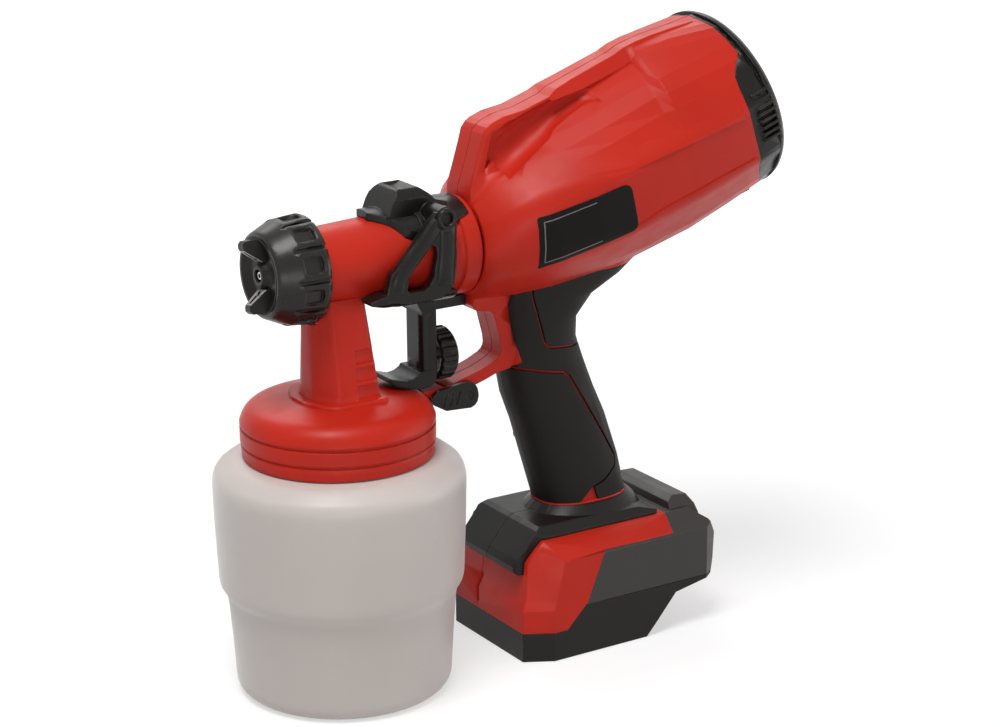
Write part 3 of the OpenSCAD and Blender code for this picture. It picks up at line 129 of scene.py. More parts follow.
class Tree:
    """A short way to write a material's nodes, with sizes in metres."""

    def __init__(self, name):
        self.material = bpy.data.materials.new(name)
        self.material.use_nodes = True
        self.nodes = self.material.node_tree.nodes
        self.links = self.material.node_tree.links
        self.shader = self.nodes["Principled BSDF"]

    def feed(self, socket, value):
        """Link a socket to another node's output, or set it to a plain value."""
        if isinstance(value, bpy.types.NodeSocket):
            self.links.new(value, socket)
        else:
            socket.default_value = value

    def give(self, socket, value):
        """Feed one of the shader's own sockets."""
        self.feed(self.shader.inputs[socket], value)

    def add(self, kind, feeds=None, **settings):
        """A new node, with its settings made first and its input sockets fed after that."""
        node = self.nodes.new("ShaderNode" + kind)
        for key, value in settings.items():
            setattr(node, key, value)
        for socket, value in (feeds or {}).items():
            self.feed(node.inputs[socket], value)
        return node

    def place(self):
        """Where a point lies on the piece."""
        return self.add("TexCoord").outputs["Object"]

    def noise(self, size, detail, roughness=0.5, stretch=None):
        """Noise with grains of about `size`."""
        place = self.place()
        if stretch:
            place = self.add("Mapping", {"Vector": place, "Scale": stretch}).outputs[0]
        feeds = {"Vector": place, "Scale": 1.0 / size, "Detail": detail, "Roughness": roughness}
        return self.add("TexNoise", feeds).outputs["Fac"]

    def cells(self, size, feature="F1"):
        """How far a point lies from its cell's middle or edge, with cells of about `size`."""
        feeds = {"Vector": self.place(), "Scale": 1.0 / size}
        return self.add("TexVoronoi", feeds, feature=feature).outputs["Distance"]

    def between(self, value, low, high, start=0.0, end=1.0):
        """`value` from low to high, stretched to run from start to end."""
        feeds = {"Value": value, "From Min": low, "From Max": high, "To Min": start, "To Max": end}
        return self.add("MapRange", feeds).outputs["Result"]

    def patches(self, size, low, high, start=0.0, end=1.0, detail=4.0):
        """Soft patches of about `size`: `start` where the noise is low, `end` where it is high."""
        return self.between(self.noise(size, detail), low, high, start, end)

    def times(self, one, other):
        return self.add("Math", {0: one, 1: other}, operation="MULTIPLY").outputs[0]

    def mix(self, share, first, second):
        """A colour between two colours or colour outputs."""
        first, second = ((*colour, 1.0) if isinstance(colour, tuple) else colour
                         for colour in (first, second))
        feeds = {"Factor": share, "A": first, "B": second}
        return self.add("Mix", feeds, data_type="RGBA").outputs["Result"]

    def behind_and_below(self, x, z):
        """1 behind x and below z."""
        parts = self.add("SeparateXYZ", {0: self.place()})
        behind = self.between(parts.outputs["X"], x, x + SEAM_SOFT)
        below = self.between(parts.outputs["Z"], z + SEAM_SOFT, z)
        return self.times(behind, below)

    def worn_and_highlit_edges(self, radius):
        """1 on sharp edges, which are painted paler for rubbing and highlight, 0 on open faces,
        and the rounded normal there.
        """
        rounded = self.add("Bevel", {"Radius": radius}, samples=BEVEL_SAMPLES).outputs["Normal"]
        flat = self.add("NewGeometry").outputs["Normal"]
        facing = self.add("VectorMath", {0: rounded, 1: flat}, operation="DOT_PRODUCT")
        return self.between(facing.outputs["Value"], *OPEN_TO_WORN_AND_HIGHLIT), rounded

    def bump(self, height, depth, normal=None):
        """A normal bent by a height that runs from 0 to 1, where 1 is `depth`."""
        feeds = {"Strength": 1.0, "Distance": depth, "Height": height}
        if normal:
            feeds["Normal"] = normal
        return self.add("Bump", feeds).outputs["Normal"]


# ---- finishes ----
def shade(colour, factor):
    return tuple(min(1.0, channel * factor) for channel in colour)


def moulded_plastic(name, colour, roughness, wear_and_highlight, edge=0.35 * MM, depth=0.012 * MM, shine=0.3,
                    seam=None):
    """Injection-moulded plastic: spark-erosion grain, slight flow marks, edges painted paler.

    The wear-and-highlight factor says how much paler the edges are painted, partly worn by rubbing
    and partly as highlight; `edge` how wide the rounded edges are and `depth` how deep the grain
    is.
    Behind and below a `seam` the plastic is black.
    """
    tree = Tree(name)
    rubbed_and_highlit, rounded = tree.worn_and_highlit_edges(edge)
    scuffs = tree.patches(6 * MM, low=0.42, high=0.62)
    flow = tree.patches(45 * MM, low=0.3, high=0.7, detail=2.0)
    base = tree.mix(flow, shade(colour, 0.93), shade(colour, 1.06))
    # edges painted paler: partly worn by rubbing, partly a painted highlight where rounded rims
    # would catch light
    base = tree.mix(tree.times(tree.times(rubbed_and_highlit, scuffs), 0.55), base, shade(colour, wear_and_highlight))
    if seam:
        base = tree.mix(tree.behind_and_below(*seam), base, BLACK)
    tree.give("Base Color", base)
    tree.give("Roughness", tree.patches(9 * MM, low=0.3, high=0.7,
                                        start=roughness - 0.05, end=roughness + 0.06))
    tree.give("Specular IOR Level", shine)
    grain = tree.noise(0.35 * MM, detail=2.0, roughness=0.6)
    tree.give("Normal", tree.bump(grain, depth, rounded))
    return tree.material


def soft_rubber(name, colour, roughness):
    """Soft-touch rubber: matt, with a dusty bloom and fine pebbles."""
    tree = Tree(name)
    rubbed_and_highlit, rounded = tree.worn_and_highlit_edges(0.5 * MM)
    bloom = tree.patches(14 * MM, low=0.35, high=0.7)
    base = tree.mix(tree.times(bloom, 0.5), colour, shade(colour, 1.5))
    # edges painted paler: partly worn by rubbing, partly a painted highlight
    base = tree.mix(tree.times(rubbed_and_highlit, 0.3), base, shade(colour, 2.0))
    tree.give("Base Color", base)
    tree.give("Roughness", tree.between(bloom, 0.0, 1.0, roughness - 0.05, roughness + 0.05))
    tree.give("Specular IOR Level", 0.16)
    pebbles = tree.cells(0.45 * MM)
    tree.give("Normal", tree.bump(pebbles, 0.02 * MM, rounded))
    return tree.material


def milky_plastic(name, colour, roughness):
    """Blow-moulded polyethylene: satin, slightly see-through, faintly cloudy down its height."""
    tree = Tree(name)
    _, rounded = tree.worn_and_highlit_edges(0.8 * MM)
    cloud = tree.noise(30 * MM, detail=3.0, stretch=(1.0, 1.0, 0.5))
    clouded = tree.between(cloud, 0.35, 0.65)
    tree.give("Base Color", tree.mix(clouded, shade(colour, 0.985), shade(colour, 1.015)))
    tree.give("Roughness", tree.patches(7 * MM, low=0.3, high=0.7,
                                        start=roughness - 0.04, end=roughness + 0.05))
    tree.give("Sheen Weight", 0.6)
    tree.give("Sheen Roughness", 0.45)
    tree.give("Subsurface Weight", 0.35)
    tree.give("Subsurface Radius", (1.0, 0.9, 0.8))
    tree.give("Subsurface Scale", 2.5 * MM)
    grain = tree.noise(0.8 * MM, detail=3.0, roughness=0.6)
    tree.give("Normal", tree.bump(grain, 0.02 * MM, rounded))
    return tree.material


def turned_metal(name, colour, roughness):
    """Turned metal with fine tool marks, and edges painted brighter for rubbing and highlight."""
    tree = Tree(name)
    rubbed_and_highlit, rounded = tree.worn_and_highlit_edges(0.15 * MM)
    tarnish = tree.patches(5 * MM, low=0.35, high=0.7)
    base = tree.mix(tree.times(tarnish, 0.5), colour, shade(colour, 0.78))
    # edges painted brighter: partly worn by rubbing, partly a painted highlight
    base = tree.mix(tree.times(rubbed_and_highlit, 0.6), base, shade(colour, 1.25))
    tree.give("Base Color", base)
    tree.give("Metallic", 1.0)
    tree.give("Roughness", tree.between(tarnish, 0.0, 1.0, roughness - 0.06, roughness + 0.1))
    marks = tree.noise(0.5 * MM, detail=2.0, stretch=(6.0, 1.0, 1.0))
    tree.give("Normal", tree.bump(marks, 0.004 * MM, rounded))
    return tree.material


def circuit_board(name, colour):
    """Solder-masked board with faint copper tracks beneath."""
    tree = Tree(name)
    beside_track = tree.between(tree.cells(4 * MM, "DISTANCE_TO_EDGE"), 0.06, 0.09)
    tree.give("Base Color", tree.mix(beside_track, shade(colour, 1.9), colour))
    tree.give("Roughness", 0.3)
    tree.give("Normal", tree.bump(beside_track, 0.03 * MM))
    return tree.material


def open_foam(name, colour):
    """Open-cell filter foam, with shade painted into its pores."""
    tree = Tree(name)
    wall = tree.between(tree.cells(1.1 * MM), 0.1, 0.6)
    # painted shade: darker towards each cell's middle, where a pore lies
    tree.give("Base Color", tree.mix(wall, shade(colour, 0.4), shade(colour, 1.4)))
    tree.give("Roughness", 0.9)
    tree.give("Normal", tree.bump(wall, 0.4 * MM))
    return tree.material


RED = (0.54, 0.022, 0.010)
BLACK = (0.011, 0.0095, 0.0085)
GREY = (0.11, 0.11, 0.115)
MILK = (0.635, 0.572, 0.538)
STEEL = (0.60, 0.60, 0.61)
BLACKENED_STEEL = (0.022, 0.021, 0.021)
ZINC = (0.17, 0.17, 0.175)
BRASS = (0.76, 0.56, 0.27)
HORN_GREY = (0.25, 0.235, 0.225)
LINE_GREY = (0.19, 0.16, 0.155)
BOARD_GREEN = (0.012, 0.10, 0.045)
FOAM_GREY = (0.05, 0.05, 0.052)

RED_MOULDING = {"colour": RED, "roughness": 0.38, "wear_and_highlight": 1.2, "edge": 0.9 * MM, "shine": 0.19}
# behind this x and below this z the shells show only as a line between bumper and base, in black
FOOT_SEAM = (134.5 * MM, 25.9 * MM)

FINISHES = {
    "red_plastic": moulded_plastic("red_plastic", **RED_MOULDING),
    "housing_red": moulded_plastic("housing_red", **RED_MOULDING, seam=FOOT_SEAM),
    # the black finishes paint their edges far paler than the red: mostly a painted highlight along
    # rims, a little worn by rubbing
    "black_plastic": moulded_plastic("black_plastic", BLACK, 0.36, wear_and_highlight=6.0, edge=0.6 * MM,
                                     depth=0.005 * MM, shine=0.2),
    "black_deep": moulded_plastic("black_deep", shade(BLACK, 0.75), 0.28, wear_and_highlight=16.0,
                                  edge=0.9 * MM, depth=0.004 * MM, shine=0.2),
    "nut_black": moulded_plastic("nut_black", shade(BLACK, 1.25), 0.27, wear_and_highlight=10.0,
                                 edge=0.8 * MM, shine=0.26),
    # satin black for the bumper, painted paler than the other blacks to stand in for the light its
    # side panel catches
    "black_satin_painted_paler": moulded_plastic("black_satin_painted_paler", shade(BLACK, 2.9), 0.4, wear_and_highlight=3.8,
                                   edge=0.6 * MM, depth=0.006 * MM, shine=0.34),
    "grip_rubber": soft_rubber("grip_rubber", shade(BLACK, 0.9), 0.58),
    "seal_rubber": soft_rubber("seal_rubber", shade(BLACK, 1.1), 0.66),
    "grey_plastic": moulded_plastic("grey_plastic", GREY, 0.42, wear_and_highlight=1.6),
    "cup_plastic": milky_plastic("cup_plastic", MILK, 0.42),
    "tube_plastic": milky_plastic("tube_plastic", shade(MILK, 1.08), 0.35),
    "steel": turned_metal("steel", STEEL, 0.28),
    "dark_steel": turned_metal("dark_steel", BLACKENED_STEEL, 0.42),
    "zinc_steel": turned_metal("zinc_steel", ZINC, 0.36),
    "brass": turned_metal("brass", BRASS, 0.25),
    "horn_grey": moulded_plastic("horn_grey", HORN_GREY, 0.3, wear_and_highlight=1.4, shine=0.5),
    "plate": moulded_plastic("plate", shade(BLACK, 0.5), 0.42, wear_and_highlight=9.0, depth=0.004 * MM,
                             shine=0.1),
    "plate_line": moulded_plastic("plate_line", LINE_GREY, 0.4, wear_and_highlight=1.2, depth=0.002 * MM),
    "board": circuit_board("board", BOARD_GREEN),
    "filter_foam": open_foam("filter_foam", FOAM_GREY),
}


# ---- helpers for meshes ----
CORNER_STEPS = 7


def link(obj):
    bpy.context.scene.collection.objects.link(obj)
    return obj


def made_mesh(name, work, angle):
    """The mesh of `work`, shaded smooth where its faces meet at less than `angle`."""
    mesh = bpy.data.meshes.new(name)
    work.to_mesh(mesh)
    work.free()
    mesh.polygons.foreach_set("use_smooth", [True] * len(mesh.polygons))
    mesh.set_sharp_from_angle(angle=angle)
    return mesh


def new_piece(name, mesh, finish, node, replaces=()):
    """A piece that rides with a node's body, in the finish it is given."""
    piece = link(bpy.data.objects.new(name, mesh))
    mesh.materials.append(FINISHES[finish])
    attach(piece, BODY_OF[node])
    if replaces:
        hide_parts(*replaces)
    return piece


def new_solid(name, work, angle, finish, node, replaces=()):
    """A piece of a closed solid, with its faces turned outward."""
    bmesh.ops.recalc_face_normals(work, faces=work.faces)
    return new_piece(name, made_mesh(name, work, angle), finish, node, replaces)


def stepped(path, fewest, stride=math.inf):
    """A path's corners with points between: `fewest` a stretch, or one a `stride` if more."""
    points = []
    for start, end in zip(path, path[1:]):
        start, end = Vector(start), Vector(end)
        count = max(fewest, int((end - start).length / stride))
        points += [start.lerp(end, k / count) for k in range(count)]
    return points + [Vector(path[-1])]


def heading(points, i):
    """Which way a path runs at its point i, from the point before to the one after."""
    return (points[min(i + 1, len(points) - 1)] - points[max(i - 1, 0)]).normalized()


def leftward(direction):
    """A direction in a plane, turned a quarter."""
    return Vector((-direction.y, direction.x))


def band(work, one, other):
    """Faces from one ring of vertices to another."""
    for k in range(len(one)):
        j = (k + 1) % len(one)
        work.faces.new((one[k], one[j], other[j], other[k]))


def tube(work, rings):
    """Faces along rings of vertices, with both ends closed."""
    for one, other in zip(rings, rings[1:]):
        band(work, one, other)
    work.faces.new(rings[0])
    work.faces.new(rings[-1][::-1])


def hoop(work, rings):
    """Faces along rings of vertices, from the last to the first as well."""
    for k, ring in enumerate(rings):
        band(work, ring, rings[(k + 1) % len(rings)])


def rounded_outline(corners):
    """Points round an outline; each corner has its place and how far its rounding reaches."""
    outline = []
    for i, (corner, radius) in enumerate(corners):
        here = Vector(corner)
        before = (Vector(corners[i - 1][0]) - here).normalized() * radius
        after = (Vector(corners[(i + 1) % len(corners)][0]) - here).normalized() * radius
        for k in range(CORNER_STEPS + 1):
            share = k / CORNER_STEPS
            outline.append(here + (1 - share) ** 2 * before + share ** 2 * after)
    return outline


# ---- the nodes' own surfaces ----
# points closer than WELD are joined and edges shorter than SLIVER go; where edges will be rounded,
# faces that meet at less than SAME_PLANE become one
WELD = 0.002 * MM
SLIVER = 0.001 * MM
SAME_PLANE = math.radians(0.6)

# shaded smooth where faces meet at less than this, and at less than these angles on some nodes
SMOOTH_BELOW = math.radians(24)
FINER = {
    "gun_body": math.radians(14),
    "foot_pad": math.radians(12),
    "foot_base": math.radians(12),
    "trigger_saddle": math.radians(14),
    "rear_bumper": math.radians(14),
    "trigger": math.radians(18),
}
# how far the edges of these are rounded, where they are sharper than ROUND_ABOVE
ROUNDED = {
    "trigger": 0.9 * MM,
    "latch_lever": 0.5 * MM,
    "foot_pad": 0.7 * MM,
    "foot_base": 0.7 * MM,
    "rear_bumper": 0.8 * MM,
    "trigger_saddle": 0.5 * MM,
}
ROUND_ABOVE = math.radians(38)
ROUND_SEGMENTS = 3
# finishes of nodes whose slot's own finish isn't the right one
OWN_FINISH = {
    "housing_left": "housing_red",
    "housing_right": "housing_red",
    "union_nut": "nut_black",
    "rear_bumper": "black_satin_painted_paler",
    "housing_screws": "zinc_steel",
    "base_screws": "zinc_steel",
    "filter_cover": "black_deep",
    "trigger": "black_deep",
    "latch_lever": "black_deep",
    "trigger_saddle": "black_deep",
    "flow_wheel": "black_deep",
}

# the turbine's axis, which the casing's creases follow
AXIS_FOOT = Vector((74.0, 0.0, 204.2)) * MM
AXIS_PITCH = math.radians(20)
AXIS = Vector((math.cos(AXIS_PITCH), 0.0, math.sin(AXIS_PITCH)))
# along the axis: where the nose's soft curves end, and where one moulded band starts and ends
CREASES_FROM = 50
CREASED_BAND = (92, 104)
# how far out from the axis the outer skin starts
SKIN_FROM = 36
CREASE_ABOVE = math.radians(3.5)
# an edge's share along the axis, at least for a lengthwise crease and at most for one round it
LENGTHWISE = 0.9
CROSSWISE = 0.7


def mark_creases(mesh):
    """Keep the shallow creases along the casing sharp, and those round its moulded band."""
    work = bmesh.new()
    work.from_mesh(mesh)
    for edge in work.edges:
        start, end = (vert.co for vert in edge.verts)
        along = abs((end - start).normalized().dot(AXIS))
        middle = (start + end) / 2 - AXIS_FOOT
        reach = middle.dot(AXIS) / MM
        out = (middle - AXIS * middle.dot(AXIS)).length / MM
        lengthwise = along > LENGTHWISE and reach > CREASES_FROM
        banded = along < CROSSWISE and CREASED_BAND[0] < reach < CREASED_BAND[1]
        creased = out >= SKIN_FROM and edge.calc_face_angle(0.0) > CREASE_ABOVE
        if creased and (lengthwise or banded):
            edge.smooth = False
    work.to_mesh(mesh)
    work.free()


# which way the screws' heads face, and the six-lobed drive sunk in them
HEADS_FACE = {
    "housing_screws": Vector((0.0, 1.0, 0.0)),
    "base_screws": Vector((0.0, 0.0, -1.0)),
}
# the least cosine between a head's face and that direction
FACING = 0.999
DRIVE_LOBES = 6
DRIVE_RADIUS = 1.45
DRIVE_LOBE = 0.3
DRIVE_DEEP = 1.1
DRIVE_POINTS = 48


def sink_drives(work, out):
    """Sink a six-lobed drive into the flat face of every screw head."""
    tops = [face for face in work.faces if face.normal.dot(out) > FACING]
    one_way = out.orthogonal().normalized()
    other_way = out.cross(one_way)
    for top in bmesh.ops.dissolve_faces(work, faces=tops)["region"]:
        centre = top.calc_center_median()
        rim = list(top.edges)
        bmesh.ops.delete(work, geom=[top], context="FACES_ONLY")
        upper, lower = [], []
        for k in range(DRIVE_POINTS):
            turn = 2 * math.pi * k / DRIVE_POINTS
            radius = (DRIVE_RADIUS + DRIVE_LOBE * math.cos(DRIVE_LOBES * turn)) * MM
            spot = centre + (one_way * math.cos(turn) + other_way * math.sin(turn)) * radius
            upper.append(work.verts.new(spot))
            lower.append(work.verts.new(spot - out * DRIVE_DEEP * MM))
        loop = [work.edges.new((upper[k - 1], upper[k])) for k in range(DRIVE_POINTS)]
        bmesh.ops.triangle_fill(work, use_beauty=True, edges=rim + loop, normal=out)
        band(work, upper, lower)
        work.faces.new(lower)
    bmesh.ops.recalc_face_normals(work, faces=work.faces)


def smooth_piece(node):
    """A piece with the node's own surface, its facets joined and shaded as curved faces."""
    work = bmesh.new()
    work.from_mesh(NODES[node].data)
    bmesh.ops.remove_doubles(work, verts=work.verts, dist=WELD)
    bmesh.ops.dissolve_degenerate(work, edges=work.edges, dist=SLIVER)
    if node in ROUNDED:
        bmesh.ops.dissolve_limit(work, angle_limit=SAME_PLANE, verts=work.verts, edges=work.edges)
    if node in HEADS_FACE:
        sink_drives(work, HEADS_FACE[node])
    mesh = made_mesh(node + "_skin", work, FINER.get(node, SMOOTH_BELOW))
    if node in ("housing_left", "housing_right"):
        mark_creases(mesh)
    finish = OWN_FINISH.get(node, SLOT_OF[node])
    piece = new_piece(node + "_skin", mesh, finish, node, [node])
    if node in ROUNDED:
        soften = piece.modifiers.new("moulded_edges", "BEVEL")
        soften.width = ROUNDED[node]
        soften.segments = ROUND_SEGMENTS
        soften.limit_method = "ANGLE"
        soften.angle_limit = ROUND_ABOVE
        soften.use_clamp_overlap = True
        soften.miter_outer = "MITER_ARC"
    weigh = piece.modifiers.new("even_normals", "WEIGHTED_NORMAL")
    weigh.keep_sharp = True
    return piece


# the air cap has pieces of its own, further down
skins = {node: smooth_piece(node) for node in NODES if node != "air_cap"}

# each coil spring whose slide has a joint gets a mesh of its own
SPRING_OF = {"needle_slide": "needle_spring", "plunger_slide": "plunger_spring"}
for joint in BEHAVIOUR["joints"]:
    if joint["name"] in SPRING_OF:
        spring = SPRING_OF[joint["name"]]
        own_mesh(skins[spring])


# ---- the side of the casing that carries the name plate ----
# in metres, further out than any part of the casing
OUTSIDE_Y = -0.15
# the skin is felt at so many places round a point, this far from it
AROUND = 8
AROUND_RADIUS = 3.0
DRAPED_SMOOTH_BELOW = math.radians(35)


def tree_of(node):
    work = bmesh.new()
    work.from_mesh(NODES[node].data)
    tree = BVHTree.FromBMesh(work)
    work.free()
    return tree


NEAR_HOUSING = tree_of("housing_left")


def skin_at(x, z):
    """Where the housing's near side lies, as y in metres, or None beside it."""
    start = Vector((x * MM, OUTSIDE_Y, z * MM))
    hit = NEAR_HOUSING.ray_cast(start, Vector((0.0, 1.0, 0.0)))[0]
    return hit.y if hit else None


def near_side(x, z):
    """The near side's y in metres, or that of the skin around where that stands further out."""
    here = skin_at(x, z)
    around = []
    for k in range(AROUND):
        turn = 2 * math.pi * k / AROUND
        around.append(skin_at(x + AROUND_RADIUS * math.cos(turn),
                              z + AROUND_RADIUS * math.sin(turn)))
    around = [y for y in around if y is not None] or [here]
    return min(here, sum(around) / len(around))


# ---- name plate, left bare ----
# its corners seen from the side, x and z, each with its rounding
PLATE = (((84.8, 221.3), 1.2), ((131.8, 233.2), 5.0), ((138.0, 209.8), 4.0), ((88.5, 195.6), 1.2))
PLATE_PROUD = 0.4
PLATE_DEEP = 2.6
PLATE_STEP = 1.6
CUT_DISTANCE = 0.00001 * MM
# the thin line inside its edge: from the top, round the front, to the underside
PLATE_LINE = ((113.5, 225.9), (87.7, 219.2), (90.6, 198.9), (118.5, 206.6))
LINE_WIDE = 0.55
LINE_PROUD = 0.46
LINE_DEEP = 0.3
LINE_STEP = 1.5


def draped_plate(outline):
    """A flat outline in x and z laid on the casing's near side, with its rim turned in."""
    work = bmesh.new()
    work.faces.new([work.verts.new((p.x * MM, 0.0, p.y * MM)) for p in outline])
    for normal, places in ((Vector((1.0, 0.0, 0.0)), [p.x for p in outline]),
                           (Vector((0.0, 0.0, 1.0)), [p.y for p in outline])):
        start, end = min(places), max(places)
        for k in range(1, int((end - start) / PLATE_STEP) + 1):
            everything = work.verts[:] + work.edges[:] + work.faces[:]
            cut = normal * ((start + k * PLATE_STEP) * MM)
            bmesh.ops.bisect_plane(work, geom=everything, plane_co=cut, plane_no=normal,
                                   dist=CUT_DISTANCE)
    for vert in work.verts:
        vert.co.y = near_side(vert.co.x / MM, vert.co.z / MM) - PLATE_PROUD * MM
    grown = bmesh.ops.extrude_face_region(work, geom=work.faces[:])
    for vert in (v for v in grown["geom"] if isinstance(v, bmesh.types.BMVert)):
        vert.co.y += PLATE_DEEP * MM
    return work


def draped_line(path):
    """A thin raised line along a path in x and z on the name plate."""
    points = stepped(path, 2, LINE_STEP)
    work = bmesh.new()
    rings = []
    for i, point in enumerate(points):
        ahead = points[min(i + 1, len(points) - 1)] - point
        behind = point - points[max(i - 1, 0)]
        along = (ahead.normalized() + behind.normalized()).normalized()
        across = leftward(along) * LINE_WIDE / 2
        outer = [(spot.x * MM, near_side(spot.x, spot.y) - LINE_PROUD * MM, spot.y * MM)
                 for spot in (point + across, point - across)]
        inner = [(x, y + LINE_DEEP * MM, z) for x, y, z in outer[::-1]]
        rings.append([work.verts.new(spot) for spot in outer + inner])
    tube(work, rings)
    return work


new_solid("name_plate", draped_plate(rounded_outline(PLATE)), DRAPED_SMOOTH_BELOW, "plate",
          "terminal_block")
new_solid("name_plate_line", draped_line(PLATE_LINE), DRAPED_SMOOTH_BELOW, "plate_line",
          "switch_body")


# ---- shallow steps moulded along the casing's flanks ----
# each step's edge, x and z from front to rear, and which way its panel lies from the edge
FLANK_STEPS = (
    (((136.5, 238.9), (148.0, 242.7), (164.6, 246.9), (182.1, 251.3), (197.3, 255.2)), 1.0),
    (((137.0, 211.7), (152.0, 218.1), (171.9, 224.6), (189.6, 230.4), (205.6, 235.0)), -1.0),
)
# how far a step stands proud at its edge, and how far it has sunk where its panel runs out
STEP_PROUD = 0.75
STEP_SUNK = 0.12
STEP_DEEP = 0.7
STEP_WIDE = 8.0
# the length over which a step rises at its front end
STEP_LEAD = 9.0
STEP_STRIDE = 2.0
# across its width, as shares of it
STEP_PLACES = (0.0, 0.06, 0.3, 0.65, 1.0)


def draped_step(path, toward, mirror):
    """A panel edge that stands proud along a line and runs out over some millimetres."""
    points = stepped(path, 2, STEP_STRIDE)
    work = bmesh.new()
    rings = []
    for i, point in enumerate(points):
        across = leftward(heading(points, i)) * toward
        grown = min(1.0, (point - points[0]).length / STEP_LEAD)
        ring = []
        outer = [(share, STEP_PROUD * grown * (1.0 - share) - STEP_SUNK * share)
                 for share in STEP_PLACES]
        for share, proud in outer + [(1.0, -STEP_DEEP), (0.0, -STEP_DEEP)]:
            spot = point + across * STEP_WIDE * share
            y = (near_side(spot.x, spot.y) - proud * MM) * mirror
            ring.append(work.verts.new((spot.x * MM, y, spot.y * MM)))
        rings.append(ring)
    tube(work, rings)
    return work


for number, (step_path, step_toward) in enumerate(FLANK_STEPS):
    for half, mirror in (("left", 1.0), ("right", -1.0)):
        new_solid(f"flank_step_{number}_{half}", draped_step(step_path, step_toward, mirror),
                  DRAPED_SMOOTH_BELOW, "red_plastic", "housing_" + half)


# ---- plinth round the neck's foot ----
LID_TOP = 143.0
PLINTH = (((-21.3, 7.6), 3.5), ((-13.2, 22.6), 5.0), ((15.5, 22.6), 4.0),
          ((15.5, -22.6), 4.0), ((-13.2, -22.6), 5.0), ((-21.3, -7.6), 3.5))
PLINTH_SUNK = 2.4
PLINTH_TALL = 3.1
PLINTH_ROUND = 1.1
PLINTH_SEGMENTS = 4


def neck_plinth():
    """A low plinth on the lid, with its upper edge rounded."""
    work = bmesh.new()
    base = (LID_TOP - PLINTH_SUNK) * MM
    work.faces.new([work.verts.new((q.x * MM, q.y * MM, base)) for q in rounded_outline(PLINTH)])
    grown = bmesh.ops.extrude_face_region(work, geom=work.faces[:])
    top = [v for v in grown["geom"] if isinstance(v, bmesh.types.BMVert)]
    for vert in top:
        vert.co.z += PLINTH_TALL * MM
    rim = [e for e in work.edges if e.verts[0] in top and e.verts[1] in top]
    bmesh.ops.bevel(work, geom=rim, offset=PLINTH_ROUND * MM, segments=PLINTH_SEGMENTS,
                    profile=0.5, affect="EDGES")
    return work


new_solid("neck_plinth", neck_plinth(), DRAPED_SMOOTH_BELOW, "red_plastic", "gun_body")


# ---- rounded faces of the trigger's legs ----
# the pivot, x and z, and how far out the flat of a leg lies
PIVOT = Vector((44.0, 224.2))
LEG_FACE = 26.1
# middle line of each strap, x and z from the pivot, and its half width
STRAPS = (
    (((-3.6, -1.1), (-12.4, -10.9), (-22.6, -22.4), (-24.9, -25.6), (-25.6, -31.0)), 3.5),
    (((1.0, -2.2), (0.9, -9.0), (0.5, -17.0), (-0.5, -25.0), (-1.0, -31.0)), 4.2),
)
STRAP_PROUD = 1.5
STRAP_SUNK = 0.2
STRAP_SIDES = 8
STRAP_PARTS = 4
# below 1, the half round is fuller than a circle
STRAP_FULLNESS = 0.8
# a strap's height at either end, as a share, and how much it gains with each point
TAPER_START = 0.35
TAPER_GAIN = 0.3
# the ring round the pivot: radius and how proud
BOSS_OUTLINE = ((5.2, -0.2), (5.2, 0.9), (4.7, 1.7), (3.9, 2.0), (3.1, 1.6), (2.8, 0.9),
                (2.6, -0.2))
BOSS_SIDES = 40
LEG_SMOOTH_BELOW = math.radians(50)


def leg_relief(side):
    """Half-round straps down a trigger leg, and the ring round its pivot."""
    work = bmesh.new()

    def vert(x, z, proud):
        place = (PIVOT.x + x, side * (LEG_FACE + proud), PIVOT.y + z)
        return work.verts.new([length * MM for length in place])

    for path, half_width in STRAPS:
        points = stepped(path, STRAP_PARTS)
        rings = []
        for i, point in enumerate(points):
            across = leftward(heading(points, i))
            from_end = min(i, len(points) - 1 - i)
            height = STRAP_PROUD * min(1.0, TAPER_START + TAPER_GAIN * from_end)
            ring = []
            for k in range(STRAP_SIDES + 1):
                turn = math.pi * k / STRAP_SIDES
                spot = point + across * half_width * math.cos(turn)
                proud = height * math.sin(turn) ** STRAP_FULLNESS - STRAP_SUNK
                ring.append(vert(spot.x, spot.y, proud))
            rings.append(ring)
        tube(work, rings)
    turns = [2 * math.pi * k / BOSS_SIDES for k in range(BOSS_SIDES)]
    hoop(work, [[vert(radius * math.cos(turn), radius * math.sin(turn), proud)
                 for radius, proud in BOSS_OUTLINE] for turn in turns])
    return work


for half, side in (("left", -1.0), ("right", 1.0)):
    new_solid("trigger_leg_" + half, leg_relief(side), LEG_SMOOTH_BELOW, "black_deep", "trigger")


# ---- air cap ----
BARREL_Z = 204.2
# half of the cap's cut outline: radius and place along the barrel
CAP_OUTLINE = (
    (2.9, -38.2), (3.3, -38.5), (4.6, -38.4), (5.3, -37.7), (6.6, -35.7), (7.8, -35.1),
    (12.0, -35.2), (15.6, -37.4), (16.6, -38.2), (17.1, -38.2), (17.35, -37.8), (17.35, -31.6),
    (18.55, -31.6), (18.55, -29.0), (9.4, -29.0), (9.4, -30.0), (7.6, -30.0), (7.6, -33.3),
    (6.8, -33.3), (3.3, -36.1), (2.9, -36.1),
)
CAP_SIDES = 96
CAP_SMOOTH_BELOW = math.radians(25)
HORN_TURNS = (-10.0, 170.0)
# the horn's side: place along the barrel and radius, from the inner end of the slanted face
# round its tip
HORN_SIDE = ((-36.9, 6.3), (-44.7, 12.2), (-45.2, 13.2), (-45.2, 15.0), (-43.9, 16.4),
             (-37.6, 16.6), (-35.0, 15.4), (-34.9, 6.0))
# its half width grows from the tip's to the root's between two places along the barrel
HORN_HALF_TIP, HORN_HALF_ROOT = 2.6, 4.3
HORN_TIP_X, HORN_ROOT_X = -45.0, -35.0
HORN_SMOOTH_BELOW = math.radians(30)
